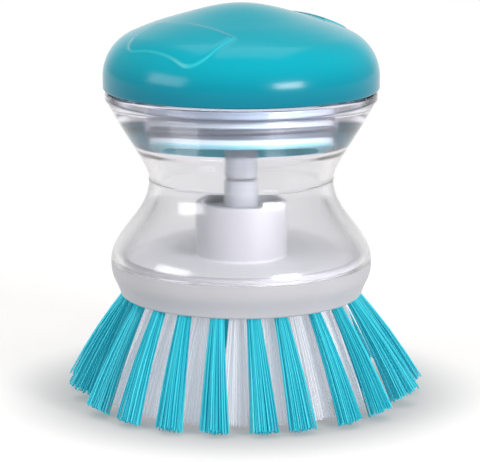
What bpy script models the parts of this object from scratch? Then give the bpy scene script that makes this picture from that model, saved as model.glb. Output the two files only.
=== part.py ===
"""Soap-dispensing palm brush.

A clear hourglass reservoir stands on a white brush plate.  Teal and white tufts splay out under
the plate.  A soft domed cap screws into the reservoir's mouth.  Pressing the raised middle of the
cap pushes a rod down on a spring-loaded plunger, whose poppet then leaves the outlet in the plate
and lets soap run down into the bristles.

Metres, +Z up.  The brush stands on its bristle tips at z = 0, on the Z axis.  Front is -Y.
"""

import math

import bmesh
import bpy
from mathutils import Matrix, Vector
from mathutils.geometry import interpolate_bezier

# Clearances and mesh fineness
SEAT_GAP = 0.0003
RUNNING_GAP = 0.0003
CUT_OVERRUN = 0.0004
JOIN_DEPTH = 0.0004
MERGE_DISTANCE = 0.0000001
ROUND_STEPS = 32
SMALL_ROUND_STEPS = 20
EDGE_STEPS = 3
RIM_SIDE_STEPS = 5
SMOOTH_ANGLE = math.radians(35)

# Brush plate
PLATE_UNDERSIDE = 0.0246
PLATE_RIM_HEIGHT = 0.0079
PLATE_RADIUS = 0.0309
PLATE_TAPER = 0.0021
PLATE_EDGE_ROUND = 0.0008
FLOOR_RISE = 0.0013
FLOOR_EDGE_ROUND = 0.0006
DRAIN_DEPTH = 0.0028
DRAIN_FLARE = 0.0022

# Well tower on the plate
WELL_RADIUS = 0.0108
WELL_WALL = 0.0015
WELL_HEIGHT = 0.0129
WELL_RIM_ROUND = 0.0005
INLET_WIDTH = 0.0040
INLET_HEIGHT = 0.0030
INLET_DEGREES = (90, 180, 270)

# Flat ring between plate and body
PLATE_SEAL_WIDTH = 0.0014
PLATE_SEAL_DEPTH = 0.0010
PLATE_SEAL_INSET = 0.0008

# Clear body
BODY_WALL = 0.0030
WAIST_HEIGHT = 0.0194
WAIST_DRAW_IN = 0.01025
NECK_HEIGHT = 0.0208
RIM_RADIUS = 0.0320
RIM_WIDTH = 0.0091
MOUTH_DEPTH = 0.0120
RIM_HEIGHT = 0.0024
RIM_STEP = 0.0006
RIM_ROUND = 0.0006
FOOT_FULLNESS_SHARE = 0.35
WAIST_LOWER_FULLNESS_SHARE = 0.45
WAIST_UPPER_FULLNESS_SHARE = 0.20
NECK_FULLNESS_SHARE = 0.50
NECK_LEAN = math.radians(26)
FLANK_STEPS = 7

# Screw thread between cap and body
THREAD_LEAD = 0.0030
THREAD_DEPTH = 0.0009
THREAD_ROOT_WIDTH = 0.0013
THREAD_CREST_WIDTH = 0.0006
THREAD_TURNS = 1.5
THREAD_RUNOUT_DEGREES = 30
THREAD_STEPS_PER_TURN = 32
COLLAR_WALL = 0.0020
COLLAR_DEPTH = 0.0082
COLLAR_FLANGE_THICKNESS = 0.0014
THREAD_TOP_INSET = 0.0014

# Flat gasket under the cap
GASKET_THICKNESS = 0.0008
GASKET_WIDTH = 0.0030
GASKET_INSET = 0.0009

# Domed cap
CAP_OVERHANG = 0.00045
CAP_CROWN_HEIGHT = 0.0189
CAP_CROWN_RADIUS = 0.062
CAP_SHOULDER_RADIUS = 0.011
CAP_EDGE_ROUND = 0.0007
CAP_LIFT_ABOVE_RIM = 0.0004
SKIN_THICKNESS = 0.0015
FRAME_THICKNESS = 0.0015
REST_RING_WIDTH = 0.0015
REST_RING_THICKNESS = 0.0012
PLUG_WALL = 0.0012
PLUG_LIFT = 0.0005
DOME_STEPS = 4
SHOULDER_STEPS = 4

# Push button in the middle of the cap
BUTTON_RADIUS = 0.0130
BUTTON_BUMP_HEIGHT = 0.0014
BUTTON_STEPS = 5
BUTTON_SKIN_DEPTH = 0.0021
BUTTON_TRAVEL = 0.0035
PLATE_FLANGE_WIDTH = 0.0012
PLATE_FLANGE_THICKNESS = 0.0012
SLEEVE_WALL = 0.0013
SOCKET_WALL = 0.0014
SOCKET_DEPTH = 0.0042

# Push rod and its guide
ROD_RADIUS = 0.00385
ROD_EDGE = 0.0003
GUIDE_DROP = 0.0022
GUIDE_WALL = 0.0010
GUIDE_HEIGHT = 0.0032
GUIDE_SPOKE_COUNT = 3
GUIDE_SPOKE_WIDTH = 0.0014
GUIDE_SPOKE_HEIGHT = 0.0022
GUIDE_FRONT_DEGREES = 60

# Spring-loaded plunger in the well
PLUNGER_RADIUS = 0.0040
PLUNGER_HEAD_ABOVE_WELL = 0.0067
PLUNGER_FLANGE_DEPTH = 0.0014
PLUNGER_FLANGE_THICKNESS = 0.0014
NOTCH_COUNT = 4
NOTCH_WIDTH = 0.0034
NOTCH_DEPTH = 0.0016
STEM_RADIUS = 0.0017
STEM_TIP_RADIUS = 0.0012
STEM_TIP_REACH = 0.0006
PLUNGER_EDGE = 0.0003

# Return spring
SPRING_WIRE_RADIUS = 0.0004
SPRING_RADIUS = 0.0068
SPRING_TURNS = 4.5
SPRING_STEPS_PER_TURN = 9
WASHER_THICKNESS = 0.0006
WASHER_MARGIN = 0.0008

# Outlet
OUTLET_BORE_RADIUS = 0.0030
SEAT_WALL = 0.0013
SEAT_FLANGE_WIDTH = 0.0010
SEAT_FLANGE_THICKNESS = 0.0008
POPPET_OVERLAP = 0.0010
POPPET_THICKNESS = 0.0015
POPPET_ROUND = 0.0005
CLIP_RADIUS = 0.0026
CLIP_THICKNESS = 0.0006

# Bristles: each ring has its own number of tufts, lean and rows of strands in a tuft
BRISTLE_TRIM = 0.0005
TUFT_BACKING = 0.0010
TUFT_ROW_PITCH = 0.00115
TUFT_SPLAY_SHARE = 2.0
STRAND_ROOT_RADIUS = 0.00048
STRAND_TIP_RADIUS = 0.00070
STRAND_SIDE_COUNT = 3
BACKING_MARGIN = 0.0001
POCKET_LIP = 0.0006
OUTER_RING_SPACING = 0.0040
INNER_RING_SPACING = 0.0054

TEAL_TUFT_COUNT = 20
TEAL_LEAN = math.radians(31)
TEAL_START_DEGREES = 6
TEAL_ROW_COUNTS = (2, 3, 3)

WHITE_START_DEGREES = -3
WHITE_OUTER_TUFT_COUNT = 20
WHITE_OUTER_LEAN = math.radians(25)
WHITE_OUTER_ROW_COUNTS = (2, 2)

WHITE_MIDDLE_TUFT_COUNT = 12
WHITE_MIDDLE_LEAN = math.radians(16)
WHITE_MIDDLE_ROW_COUNTS = (1, 2)

WHITE_INNER_TUFT_COUNT = 8
WHITE_INNER_LEAN = math.radians(8)
WHITE_INNER_ROW_COUNTS = (1, 2)

# Radii of the waist, mouth, collar and cap, which follow from the rim of the clear body
WAIST_RADIUS = RIM_RADIUS - WAIST_DRAW_IN
MOUTH_RADIUS = RIM_RADIUS - RIM_WIDTH
COLLAR_RADIUS = MOUTH_RADIUS - THREAD_DEPTH - RUNNING_GAP
COLLAR_BORE_RADIUS = COLLAR_RADIUS - COLLAR_WALL
CAP_RADIUS = RIM_RADIUS + CAP_OVERHANG

# Heights that follow from the sizes above, from the table upwards
PLATE_LEDGE = PLATE_UNDERSIDE + PLATE_RIM_HEIGHT
FLOOR = PLATE_LEDGE + FLOOR_RISE
WELL_TOP = FLOOR + WELL_HEIGHT
WELL_BORE_RADIUS = WELL_RADIUS - WELL_WALL
BODY_FOOT = PLATE_LEDGE + SEAT_GAP
WAIST = BODY_FOOT + WAIST_HEIGHT
BODY_TOP = WAIST + NECK_HEIGHT
GASKET_FOOT = BODY_TOP + SEAT_GAP
GASKET_TOP = GASKET_FOOT + GASKET_THICKNESS
FLANGE_FOOT = GASKET_TOP + SEAT_GAP
FLANGE_TOP = FLANGE_FOOT + COLLAR_FLANGE_THICKNESS
GUIDE_TOP = FLANGE_FOOT - GUIDE_DROP
COLLAR_FOOT = BODY_TOP - COLLAR_DEPTH
PLUG_FOOT = COLLAR_FOOT + PLUG_LIFT
MOUTH_FLOOR = BODY_TOP - MOUTH_DEPTH
THREAD_MIDDLE = BODY_TOP - THREAD_TOP_INSET - (THREAD_LEAD * THREAD_TURNS + THREAD_ROOT_WIDTH) / 2
CAP_EDGE = BODY_TOP + CAP_LIFT_ABOVE_RIM
CROWN_CENTRE = CAP_EDGE + CAP_CROWN_HEIGHT - CAP_CROWN_RADIUS
SHOULDER_CENTRE_RADIUS = CAP_RADIUS - CAP_SHOULDER_RADIUS
SHOULDER_CENTRE = CROWN_CENTRE + math.sqrt(
    (CAP_CROWN_RADIUS - CAP_SHOULDER_RADIUS) ** 2 - SHOULDER_CENTRE_RADIUS ** 2)
FRAME_INSET = SKIN_THICKNESS + SEAT_GAP
FRAME_INNER_INSET = FRAME_INSET + FRAME_THICKNESS
BUTTON_HOLE_RADIUS = BUTTON_RADIUS + RUNNING_GAP
PLUNGER_TOP = WELL_TOP + PLUNGER_HEAD_ABOVE_WELL
PLUNGER_FLANGE_TOP = WELL_TOP - PLUNGER_FLANGE_DEPTH
PLUNGER_FLANGE_FOOT = PLUNGER_FLANGE_TOP - PLUNGER_FLANGE_THICKNESS
ROD_FOOT = PLUNGER_TOP + SEAT_GAP
OUTLET_MOUTH = PLATE_UNDERSIDE + DRAIN_DEPTH
SEAT_OUTER_RADIUS = OUTLET_BORE_RADIUS + SEAT_WALL
OUTLET_HOLE_RADIUS = SEAT_OUTER_RADIUS + SEAT_GAP
POPPET_RADIUS = OUTLET_BORE_RADIUS + POPPET_OVERLAP
POPPET_TOP = OUTLET_MOUTH - SEAT_GAP
POPPET_FOOT = POPPET_TOP - POPPET_THICKNESS
CLIP_TOP = POPPET_FOOT - SEAT_GAP
CLIP_FOOT = CLIP_TOP - CLIP_THICKNESS

# Colours: red, green, blue
TEAL = (0.0, 0.43, 0.52)
TEAL_BRISTLE = (0.01, 0.52, 0.62)
WHITE_PLASTIC = (0.72, 0.72, 0.74)
WHITE_BRISTLE = (0.80, 0.84, 0.84)
CLEAR_PLASTIC = (0.90, 0.91, 0.95)
SMOKE_PLASTIC = (0.55, 0.56, 0.60)
SILICONE = (0.78, 0.80, 0.80)
STEEL = (0.60, 0.60, 0.61)


def clear_scene():
    """Removes what a new Blender file starts with."""
    for item in list(bpy.data.objects):
        bpy.data.objects.remove(item, do_unlink=True)


def make_material(name, colour, roughness, metallic=0.0, transmission=0.0):
    """Returns a Principled material with one plain finish."""
    material = bpy.data.materials.new(name)
    material.use_nodes = True
    shader = material.node_tree.nodes["Principled BSDF"]
    shader.inputs["Base Color"].default_value = (*colour, 1.0)
    shader.inputs["Roughness"].default_value = roughness
    shader.inputs["Metallic"].default_value = metallic
    shader.inputs["Transmission Weight"].default_value = transmission
    material.diffuse_color = (*colour, 1.0)
    return material


def finish_object(name, mesh_builder, material, parent=None):
    """Turns a bmesh into a named object with outward faces, smooth shading and one material."""
    bmesh.ops.remove_doubles(mesh_builder, verts=mesh_builder.verts, dist=MERGE_DISTANCE)
    bmesh.ops.recalc_face_normals(mesh_builder, faces=mesh_builder.faces)
    mesh = bpy.data.meshes.new(name)
    mesh_builder.to_mesh(mesh)
    mesh_builder.free()
    mesh.materials.append(material)
    mesh.shade_smooth()
    mesh.set_sharp_from_angle(angle=SMOOTH_ANGLE)
    piece = bpy.data.objects.new(name, mesh)
    bpy.context.scene.collection.objects.link(piece)
    if parent is not None:
        piece.parent = parent
        piece.matrix_parent_inverse = parent.matrix_world.inverted()
    return piece


def joint_empty(name, height, parent=None):
    """Places an empty on the Z axis to carry the pieces that move together."""
    empty = bpy.data.objects.new(name, None)
    bpy.context.scene.collection.objects.link(empty)
    empty.empty_display_size = CAP_RADIUS
    empty.matrix_world = Matrix.Translation((0, 0, height))
    if parent is not None:
        empty.parent = parent
        empty.matrix_parent_inverse = Matrix.Translation((0, 0, parent.location.z)).inverted()
    return empty


def hide_helper(piece):
    """Marks an object as a cutter or an addition that only a Boolean reads."""
    piece.hide_render = True
    piece.display_type = "WIRE"


def combine(piece, helper, operation):
    """Adds a live Boolean of the helper to the piece."""
    hide_helper(helper)
    modifier = piece.modifiers.new(helper.name, "BOOLEAN")
    modifier.operation = operation
    modifier.solver = "EXACT"
    modifier.object = helper


def arc(centre, radius, start, end, steps):
    """Points along an arc; angles are measured from +r towards +z."""
    return [(centre[0] + radius * math.cos(angle), centre[1] + radius * math.sin(angle))
            for angle in (start + (end - start) * step / steps for step in range(steps + 1))]


def bezier(start, start_handle, end_handle, end, steps):
    """Points along one Bezier span in the (r, z) plane."""
    corners = [Vector((r, z, 0)) for r, z in (start, start_handle, end_handle, end)]
    return [(point.x, point.y) for point in interpolate_bezier(*corners, steps + 1)]


def inset_curve(points, distance):
    """Moves an open curve sideways by a wall thickness, towards the axis."""
    moved = []
    for index, (r, z) in enumerate(points):
        before = points[max(index - 1, 0)]
        after = points[min(index + 1, len(points) - 1)]
        along = Vector((after[0] - before[0], after[1] - before[1])).normalized()
        moved.append((r - abs(along.y) * distance, z + along.x * distance))
    return moved


def revolve(outline, steps=ROUND_STEPS):
    """Spins a closed (r, z) outline once round the Z axis and returns the bmesh."""
    builder = bmesh.new()
    corners = [builder.verts.new((r, 0, z)) for r, z in outline]
    edges = [builder.edges.new((corners[index - 1], corners[index])) for index in range(len(corners))
             if outline[index - 1][0] > 0 or outline[index][0] > 0]
    bmesh.ops.spin(builder, geom=corners + edges, cent=(0, 0, 0), axis=(0, 0, 1), dvec=(0, 0, 0),
                   angle=math.tau, steps=steps, use_merge=True)
    return builder


def ring_outline(inner, outer, foot, top):
    """Outline of a plain ring with square corners."""
    return [(inner, foot), (outer, foot), (outer, top), (inner, top)]


def flank_curves():
    """Outer curve of the clear body, foot to rim, in two Bezier spans that meet at the waist."""
    lower_rise = WAIST - BODY_FOOT
    lower = bezier((PLATE_RADIUS, BODY_FOOT),
                   (PLATE_RADIUS, BODY_FOOT + lower_rise * FOOT_FULLNESS_SHARE),
                   (WAIST_RADIUS, WAIST - lower_rise * WAIST_LOWER_FULLNESS_SHARE),
                   (WAIST_RADIUS, WAIST), FLANK_STEPS)
    neck = BODY_TOP - RIM_HEIGHT
    neck_radius = RIM_RADIUS - RIM_STEP
    upper_rise = neck - WAIST
    neck_reach = upper_rise * NECK_FULLNESS_SHARE
    upper = bezier((WAIST_RADIUS, WAIST),
                   (WAIST_RADIUS, WAIST + upper_rise * WAIST_UPPER_FULLNESS_SHARE),
                   (neck_radius - neck_reach * math.sin(NECK_LEAN),
                    neck - neck_reach * math.cos(NECK_LEAN)),
                   (neck_radius, neck), FLANK_STEPS)
    return lower + upper[1:]


def radius_at(points, height):
    """Radius of a rising (r, z) curve at one height."""
    for low, high in zip(points, points[1:]):
        if low[1] <= height <= high[1]:
            return low[0] + (high[0] - low[0]) * (height - low[1]) / (high[1] - low[1])
    return points[-1][0]


def body_outline():
    """Closed outline of the clear body's wall, mouth and foot."""
    outer = flank_curves()
    neck_radius, neck = outer[-1]
    rim = bezier((neck_radius, neck), (RIM_RADIUS, neck + RIM_STEP),
                 (RIM_RADIUS, neck + RIM_STEP), (RIM_RADIUS, BODY_TOP - RIM_ROUND), EDGE_STEPS)
    rim += arc((RIM_RADIUS - RIM_ROUND, BODY_TOP - RIM_ROUND), RIM_ROUND,
               0, math.pi / 2, EDGE_STEPS)[1:]
    mouth = [(MOUTH_RADIUS, BODY_TOP), (MOUTH_RADIUS, MOUTH_FLOOR)]
    wall = [(r, max(z, BODY_FOOT)) for r, z in inset_curve(outer, BODY_WALL)]
    floor = [(radius_at(wall, MOUTH_FLOOR), MOUTH_FLOOR)]
    inner = [point for point in wall if point[1] < MOUTH_FLOOR - RIM_STEP]
    return outer + rim[1:] + mouth + list(reversed(inner + floor))


def thread_ridge(name, wall_radius, outward, middle, material):
    """One helical ridge of trapezoid section; its height runs out to nothing at both ends."""
    builder = bmesh.new()
    steps = round(THREAD_STEPS_PER_TURN * THREAD_TURNS)
    runout = THREAD_RUNOUT_DEGREES / 360 / THREAD_TURNS
    rings = []
    for step in range(steps + 1):
        along = step / steps
        swell = min(1.0, along / runout, (1 - along) / runout)
        angle = math.tau * THREAD_TURNS * along
        height = middle + THREAD_LEAD * THREAD_TURNS * (along - 1 / 2)
        root = wall_radius - outward * JOIN_DEPTH
        crest = wall_radius + outward * (THREAD_DEPTH * swell - CUT_OVERRUN * (1 - swell) / 2)
        section = [(root, -THREAD_ROOT_WIDTH / 2), (crest, -THREAD_CREST_WIDTH / 2),
                   (crest, THREAD_CREST_WIDTH / 2), (root, THREAD_ROOT_WIDTH / 2)]
        rings.append([builder.verts.new((r * math.cos(angle), r * math.sin(angle), height + rise))
                      for r, rise in section])
    for low, high in zip(rings, rings[1:]):
        for corner in range(4):
            builder.faces.new((low[corner - 1], low[corner], high[corner], high[corner - 1]))
    builder.faces.new(rings[0])
    builder.faces.new(rings[-1])
    return finish_object(name, builder, material)


def box_builder(size, centre, bearing_degrees=0):
    """A box with its centre given before it is turned round the Z axis."""
    builder = bmesh.new()
    bmesh.ops.create_cube(builder, size=1)
    bmesh.ops.scale(builder, vec=size, verts=builder.verts)
    bmesh.ops.translate(builder, vec=centre, verts=builder.verts)
    turn = Matrix.Rotation(math.radians(bearing_degrees), 3, "Z")
    bmesh.ops.rotate(builder, cent=(0, 0, 0), matrix=turn, verts=builder.verts)
    return builder


def dome_curve(inset, hole_radius):
    """Dome seen in section, from a round hole in the crown down to the shoulder's widest point."""
    crown = CAP_CROWN_RADIUS - inset
    shoulder = CAP_SHOULDER_RADIUS - inset
    meeting = math.atan2(SHOULDER_CENTRE - CROWN_CENTRE, SHOULDER_CENTRE_RADIUS)
    hole = math.acos(hole_radius / crown)
    top = arc((0, CROWN_CENTRE), crown, hole, meeting, DOME_STEPS)
    side = arc((SHOULDER_CENTRE_RADIUS, SHOULDER_CENTRE), shoulder, meeting, 0, SHOULDER_STEPS)
    return top + side[1:]


def dome_height(radius, inset=0):
    """Height of the dome, moved inwards by an inset, at a distance from the axis."""
    return CROWN_CENTRE + math.sqrt((CAP_CROWN_RADIUS - inset) ** 2 - radius ** 2)


# Radii and heights of the cap, button and plate that several pieces share
FRAME_SIDE_RADIUS = CAP_RADIUS - FRAME_INNER_INSET
COLLAR_FLANGE_RADIUS = FRAME_SIDE_RADIUS - SEAT_GAP
REST_RING_FOOT = FLANGE_TOP + SEAT_GAP
BUTTON_FLANGE_RADIUS = BUTTON_RADIUS + PLATE_FLANGE_WIDTH
BUTTON_SKIN_FOOT = dome_height(BUTTON_RADIUS) - BUTTON_SKIN_DEPTH
BUTTON_PLATE_TOP = BUTTON_SKIN_FOOT - SEAT_GAP
BUTTON_FLANGE_TOP = dome_height(BUTTON_FLANGE_RADIUS + RUNNING_GAP, FRAME_INNER_INSET) - SEAT_GAP
BUTTON_FLANGE_FOOT = BUTTON_FLANGE_TOP - PLATE_FLANGE_THICKNESS
ROD_TOP = BUTTON_FLANGE_FOOT
PLATE_FOOT_RADIUS = PLATE_RADIUS - PLATE_TAPER
PLUG_RADIUS = PLATE_RADIUS - BODY_WALL - SEAT_GAP


def tuft_half_depth(rows):
    """Half the radial depth of one tuft at its root."""
    return TUFT_ROW_PITCH * (len(rows) - 1) / 2 + STRAND_ROOT_RADIUS + BACKING_MARGIN


TEAL_RING_RADIUS = PLATE_FOOT_RADIUS - POCKET_LIP - SEAT_GAP - tuft_half_depth(TEAL_ROW_COUNTS)
WHITE_OUTER_RADIUS = TEAL_RING_RADIUS - OUTER_RING_SPACING
WHITE_MIDDLE_RADIUS = WHITE_OUTER_RADIUS - INNER_RING_SPACING
WHITE_INNER_RADIUS = WHITE_MIDDLE_RADIUS - INNER_RING_SPACING
TEAL_BACKING = ((TEAL_RING_RADIUS + WHITE_OUTER_RADIUS) / 2,
                TEAL_RING_RADIUS + tuft_half_depth(TEAL_ROW_COUNTS))
WHITE_OUTER_BACKING = ((WHITE_OUTER_RADIUS + WHITE_MIDDLE_RADIUS) / 2, TEAL_BACKING[0] - SEAT_GAP)
WHITE_MIDDLE_BACKING = ((WHITE_MIDDLE_RADIUS + WHITE_INNER_RADIUS) / 2,
                        WHITE_OUTER_BACKING[0] - SEAT_GAP)
WHITE_INNER_BACKING = (WHITE_INNER_RADIUS - tuft_half_depth(WHITE_INNER_ROW_COUNTS),
                       WHITE_MIDDLE_BACKING[0] - SEAT_GAP)
POCKET_ROOF = PLATE_UNDERSIDE + TUFT_BACKING + SEAT_GAP


def build_brush_plate(material):
    """White plate: tapered rim, pocket for the tuft rings, raised floor, well tower and outlet."""
    pocket_outer = TEAL_BACKING[1] + SEAT_GAP
    hub_radius = WHITE_INNER_BACKING[0] - SEAT_GAP
    groove_outer = PLATE_RADIUS - PLATE_SEAL_INSET
    groove_inner = groove_outer - PLATE_SEAL_WIDTH - 2 * SEAT_GAP
    groove_floor = PLATE_LEDGE - PLATE_SEAL_DEPTH - SEAT_GAP
    underside = [(OUTLET_HOLE_RADIUS, FLOOR), (OUTLET_HOLE_RADIUS, OUTLET_MOUTH),
                 (OUTLET_HOLE_RADIUS + DRAIN_FLARE, PLATE_UNDERSIDE), (hub_radius, PLATE_UNDERSIDE),
                 (hub_radius, POCKET_ROOF), (pocket_outer, POCKET_ROOF),
                 (pocket_outer, PLATE_UNDERSIDE)]
    side = bezier((PLATE_FOOT_RADIUS, PLATE_UNDERSIDE + PLATE_EDGE_ROUND),
                  (PLATE_FOOT_RADIUS + PLATE_TAPER / 2, PLATE_UNDERSIDE + PLATE_RIM_HEIGHT / 2),
                  (PLATE_RADIUS, PLATE_UNDERSIDE + PLATE_RIM_HEIGHT / 2),
                  (PLATE_RADIUS, PLATE_LEDGE), RIM_SIDE_STEPS)
    rim = [(PLATE_FOOT_RADIUS - PLATE_EDGE_ROUND / 2, PLATE_UNDERSIDE)] + side
    ledge = [(groove_outer, PLATE_LEDGE), (groove_outer, groove_floor),
             (groove_inner, groove_floor), (groove_inner, PLATE_LEDGE), (PLUG_RADIUS, PLATE_LEDGE)]
    floor = arc((PLUG_RADIUS - FLOOR_EDGE_ROUND, FLOOR - FLOOR_EDGE_ROUND), FLOOR_EDGE_ROUND,
                0, math.pi / 2, EDGE_STEPS)
    rim_round = arc((WELL_RADIUS - WELL_RIM_ROUND, WELL_TOP - WELL_RIM_ROUND), WELL_RIM_ROUND,
                    0, math.pi / 2, EDGE_STEPS)
    tower = [(WELL_RADIUS, FLOOR)] + rim_round + [(WELL_BORE_RADIUS, WELL_TOP),
                                                  (WELL_BORE_RADIUS, FLOOR)]
    plate = finish_object("brush_plate", revolve(underside + rim + ledge + floor + tower), material)
    for bearing in INLET_DEGREES:
        inlet = box_builder((INLET_WIDTH, WELL_WALL + 4 * CUT_OVERRUN, INLET_HEIGHT + CUT_OVERRUN),
                            (0, WELL_WALL / 2 - WELL_RADIUS, FLOOR + (INLET_HEIGHT - CUT_OVERRUN) / 2),
                            bearing)
        combine(plate, finish_object(f"inlet_cut_{bearing}", inlet, material), "DIFFERENCE")
    return plate


def build_plate_seal(material):
    """Flat ring in the plate's ledge that the body's foot presses on."""
    outer = PLATE_RADIUS - PLATE_SEAL_INSET - SEAT_GAP
    ring = ring_outline(outer - PLATE_SEAL_WIDTH, outer, PLATE_LEDGE - PLATE_SEAL_DEPTH, PLATE_LEDGE)
    return finish_object("plate_seal", revolve(ring), material)


def build_body_shell(material):
    """Clear hourglass body with a one-start thread ridge inside its mouth."""
    shell = finish_object("body_shell", revolve(body_outline()), material)
    ridge = thread_ridge("body_thread", MOUTH_RADIUS, -1, THREAD_MIDDLE, material)
    combine(shell, ridge, "UNION")
    return shell


def build_outlet_seat(material):
    """Flanged bush in the plate's outlet; its foot is the face that the poppet closes on."""
    flange_radius = SEAT_OUTER_RADIUS + SEAT_FLANGE_WIDTH
    flange_foot = FLOOR + SEAT_GAP
    flange_top = flange_foot + SEAT_FLANGE_THICKNESS
    outline = [(OUTLET_BORE_RADIUS, OUTLET_MOUTH), (SEAT_OUTER_RADIUS, OUTLET_MOUTH),
               (SEAT_OUTER_RADIUS, flange_foot), (flange_radius, flange_foot),
               (flange_radius, flange_top), (OUTLET_BORE_RADIUS, flange_top)]
    return finish_object("outlet_seat", revolve(outline, SMALL_ROUND_STEPS), material)


def build_spring_washer(material):
    """Steel ring under the spring, round the flange of the outlet seat."""
    reach = SPRING_WIRE_RADIUS + WASHER_MARGIN
    foot = FLOOR + SEAT_GAP
    ring = ring_outline(SPRING_RADIUS - reach, SPRING_RADIUS + reach, foot, foot + WASHER_THICKNESS)
    return finish_object("spring_washer", revolve(ring, SMALL_ROUND_STEPS), material)


def spring_points():
    """Centre line of the wire: an even helix from the washer to the plunger's flange."""
    foot = FLOOR + SEAT_GAP + WASHER_THICKNESS + SEAT_GAP + SPRING_WIRE_RADIUS
    top = PLUNGER_FLANGE_FOOT - SEAT_GAP - SPRING_WIRE_RADIUS
    steps = round(SPRING_TURNS * SPRING_STEPS_PER_TURN)
    points = []
    for step in range(steps + 1):
        angle = math.tau * SPRING_TURNS * step / steps
        points.append(Vector((SPRING_RADIUS * math.cos(angle), SPRING_RADIUS * math.sin(angle),
                              foot + (top - foot) * step / steps)))
    return points


def build_return_spring(material):
    """Compression spring that closes the valve, one unbroken wire."""
    points = spring_points()
    nearest = min((a - b).length for index, a in enumerate(points)
                  for b in points[index + SPRING_STEPS_PER_TURN // 2:])
    print(f"return spring: least gap between turns {nearest - 2 * SPRING_WIRE_RADIUS:.5f} m")
    curve = bpy.data.curves.new("return_spring", "CURVE")
    curve.dimensions = "3D"
    curve.bevel_depth = SPRING_WIRE_RADIUS
    curve.bevel_resolution = 1
    curve.use_fill_caps = True
    spline = curve.splines.new("POLY")
    spline.points.add(len(points) - 1)
    for corner, point in zip(spline.points, points):
        corner.co = (*point, 1)
    curve.materials.append(material)
    spring = bpy.data.objects.new("return_spring", curve)
    bpy.context.scene.collection.objects.link(spring)
    return spring


def strand(builder, root, tip, across, outward):
    """One bristle strand: a thin tapered prism from its root in the backing to its tip."""
    loops = []
    for centre, radius in ((root, STRAND_ROOT_RADIUS), (tip, STRAND_TIP_RADIUS)):
        corners = []
        for side in range(STRAND_SIDE_COUNT):
            angle = math.tau * side / STRAND_SIDE_COUNT - math.pi / 2
            corners.append(builder.verts.new(centre + across * (radius * math.cos(angle))
                                             + outward * (radius * math.sin(angle))))
        loops.append(corners)
    for side in range(STRAND_SIDE_COUNT):
        builder.faces.new((loops[0][side - 1], loops[0][side], loops[1][side], loops[1][side - 1]))
    builder.faces.new(loops[0])
    builder.faces.new(loops[1])


def build_tuft_ring(name, radius, backing, tufts, lean, start_degrees, rows, material):
    """One ring of splayed tufts, fused to the slice of backing that they are set in.

    The tufts are trimmed square, and the lowest strands are cut flat where the brush stands.
    """
    builder = bmesh.new()
    half_rows = TUFT_ROW_PITCH * (len(rows) - 1) / 2
    tip_reach = (TUFT_SPLAY_SHARE * half_rows + STRAND_TIP_RADIUS) * math.sin(lean)
    tip_height = tip_reach - BRISTLE_TRIM
    for tuft in range(tufts):
        bearing = math.tau * tuft / tufts + math.radians(start_degrees)
        level = Vector((math.sin(bearing), -math.cos(bearing), 0))
        across = Vector((math.cos(bearing), math.sin(bearing), 0))
        outward = level * math.cos(lean) + Vector((0, 0, math.sin(lean)))
        root_centre = level * radius + Vector((0, 0, PLATE_UNDERSIDE + JOIN_DEPTH))
        drop = PLATE_UNDERSIDE - tip_height
        tip_centre = level * (radius + drop * math.tan(lean)) + Vector((0, 0, tip_height))
        for row, strands in enumerate(rows):
            depth = TUFT_ROW_PITCH * (row - (len(rows) - 1) / 2)
            for place in range(strands):
                side = TUFT_ROW_PITCH * (place - (strands - 1) / 2)
                root = root_centre + across * side + level * depth
                tip = tip_centre + (across * side + outward * depth) * TUFT_SPLAY_SHARE
                strand(builder, root, tip, across, outward)
    cut = bmesh.ops.bisect_plane(builder, geom=builder.verts[:] + builder.edges[:] + builder.faces[:],
                                 plane_co=(0, 0, 0), plane_no=(0, 0, -1), clear_outer=True)
    rims = [edge for edge in cut["geom_cut"] if isinstance(edge, bmesh.types.BMEdge)]
    bmesh.ops.holes_fill(builder, edges=rims)
    strands_object = finish_object(f"{name}_strands", builder, material)
    slice_outline = ring_outline(backing[0], backing[1], PLATE_UNDERSIDE, PLATE_UNDERSIDE + TUFT_BACKING)
    ring = finish_object(name, revolve(slice_outline), material)
    combine(ring, strands_object, "UNION")
    return ring


def build_plunger(material, parent):
    """Plunger: head that the rod meets, notched flange on the spring, and the stem."""
    flange_radius = WELL_BORE_RADIUS - RUNNING_GAP
    shoulder = POPPET_TOP + SEAT_GAP
    tip = CLIP_FOOT - STEM_TIP_REACH
    outline = [(0, tip), (STEM_TIP_RADIUS, tip), (STEM_TIP_RADIUS, shoulder),
               (STEM_RADIUS, shoulder), (STEM_RADIUS, PLUNGER_FLANGE_FOOT),
               (flange_radius, PLUNGER_FLANGE_FOOT), (flange_radius, PLUNGER_FLANGE_TOP),
               (PLUNGER_RADIUS, PLUNGER_FLANGE_TOP),
               (PLUNGER_RADIUS, PLUNGER_TOP - PLUNGER_EDGE), (PLUNGER_RADIUS - PLUNGER_EDGE, PLUNGER_TOP),
               (0, PLUNGER_TOP)]
    plunger = finish_object("valve_plunger", revolve(outline, SMALL_ROUND_STEPS), material, parent)
    for notch in range(NOTCH_COUNT):
        bearing = 360 * (notch + 1 / 2) / NOTCH_COUNT
        height = PLUNGER_FLANGE_THICKNESS + 2 * CUT_OVERRUN
        cutter = box_builder((NOTCH_WIDTH, 2 * NOTCH_DEPTH, height),
                             (0, -flange_radius, (PLUNGER_FLANGE_TOP + PLUNGER_FLANGE_FOOT) / 2), bearing)
        combine(plunger, finish_object(f"notch_cut_{notch}", cutter, material), "DIFFERENCE")
    return plunger


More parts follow.
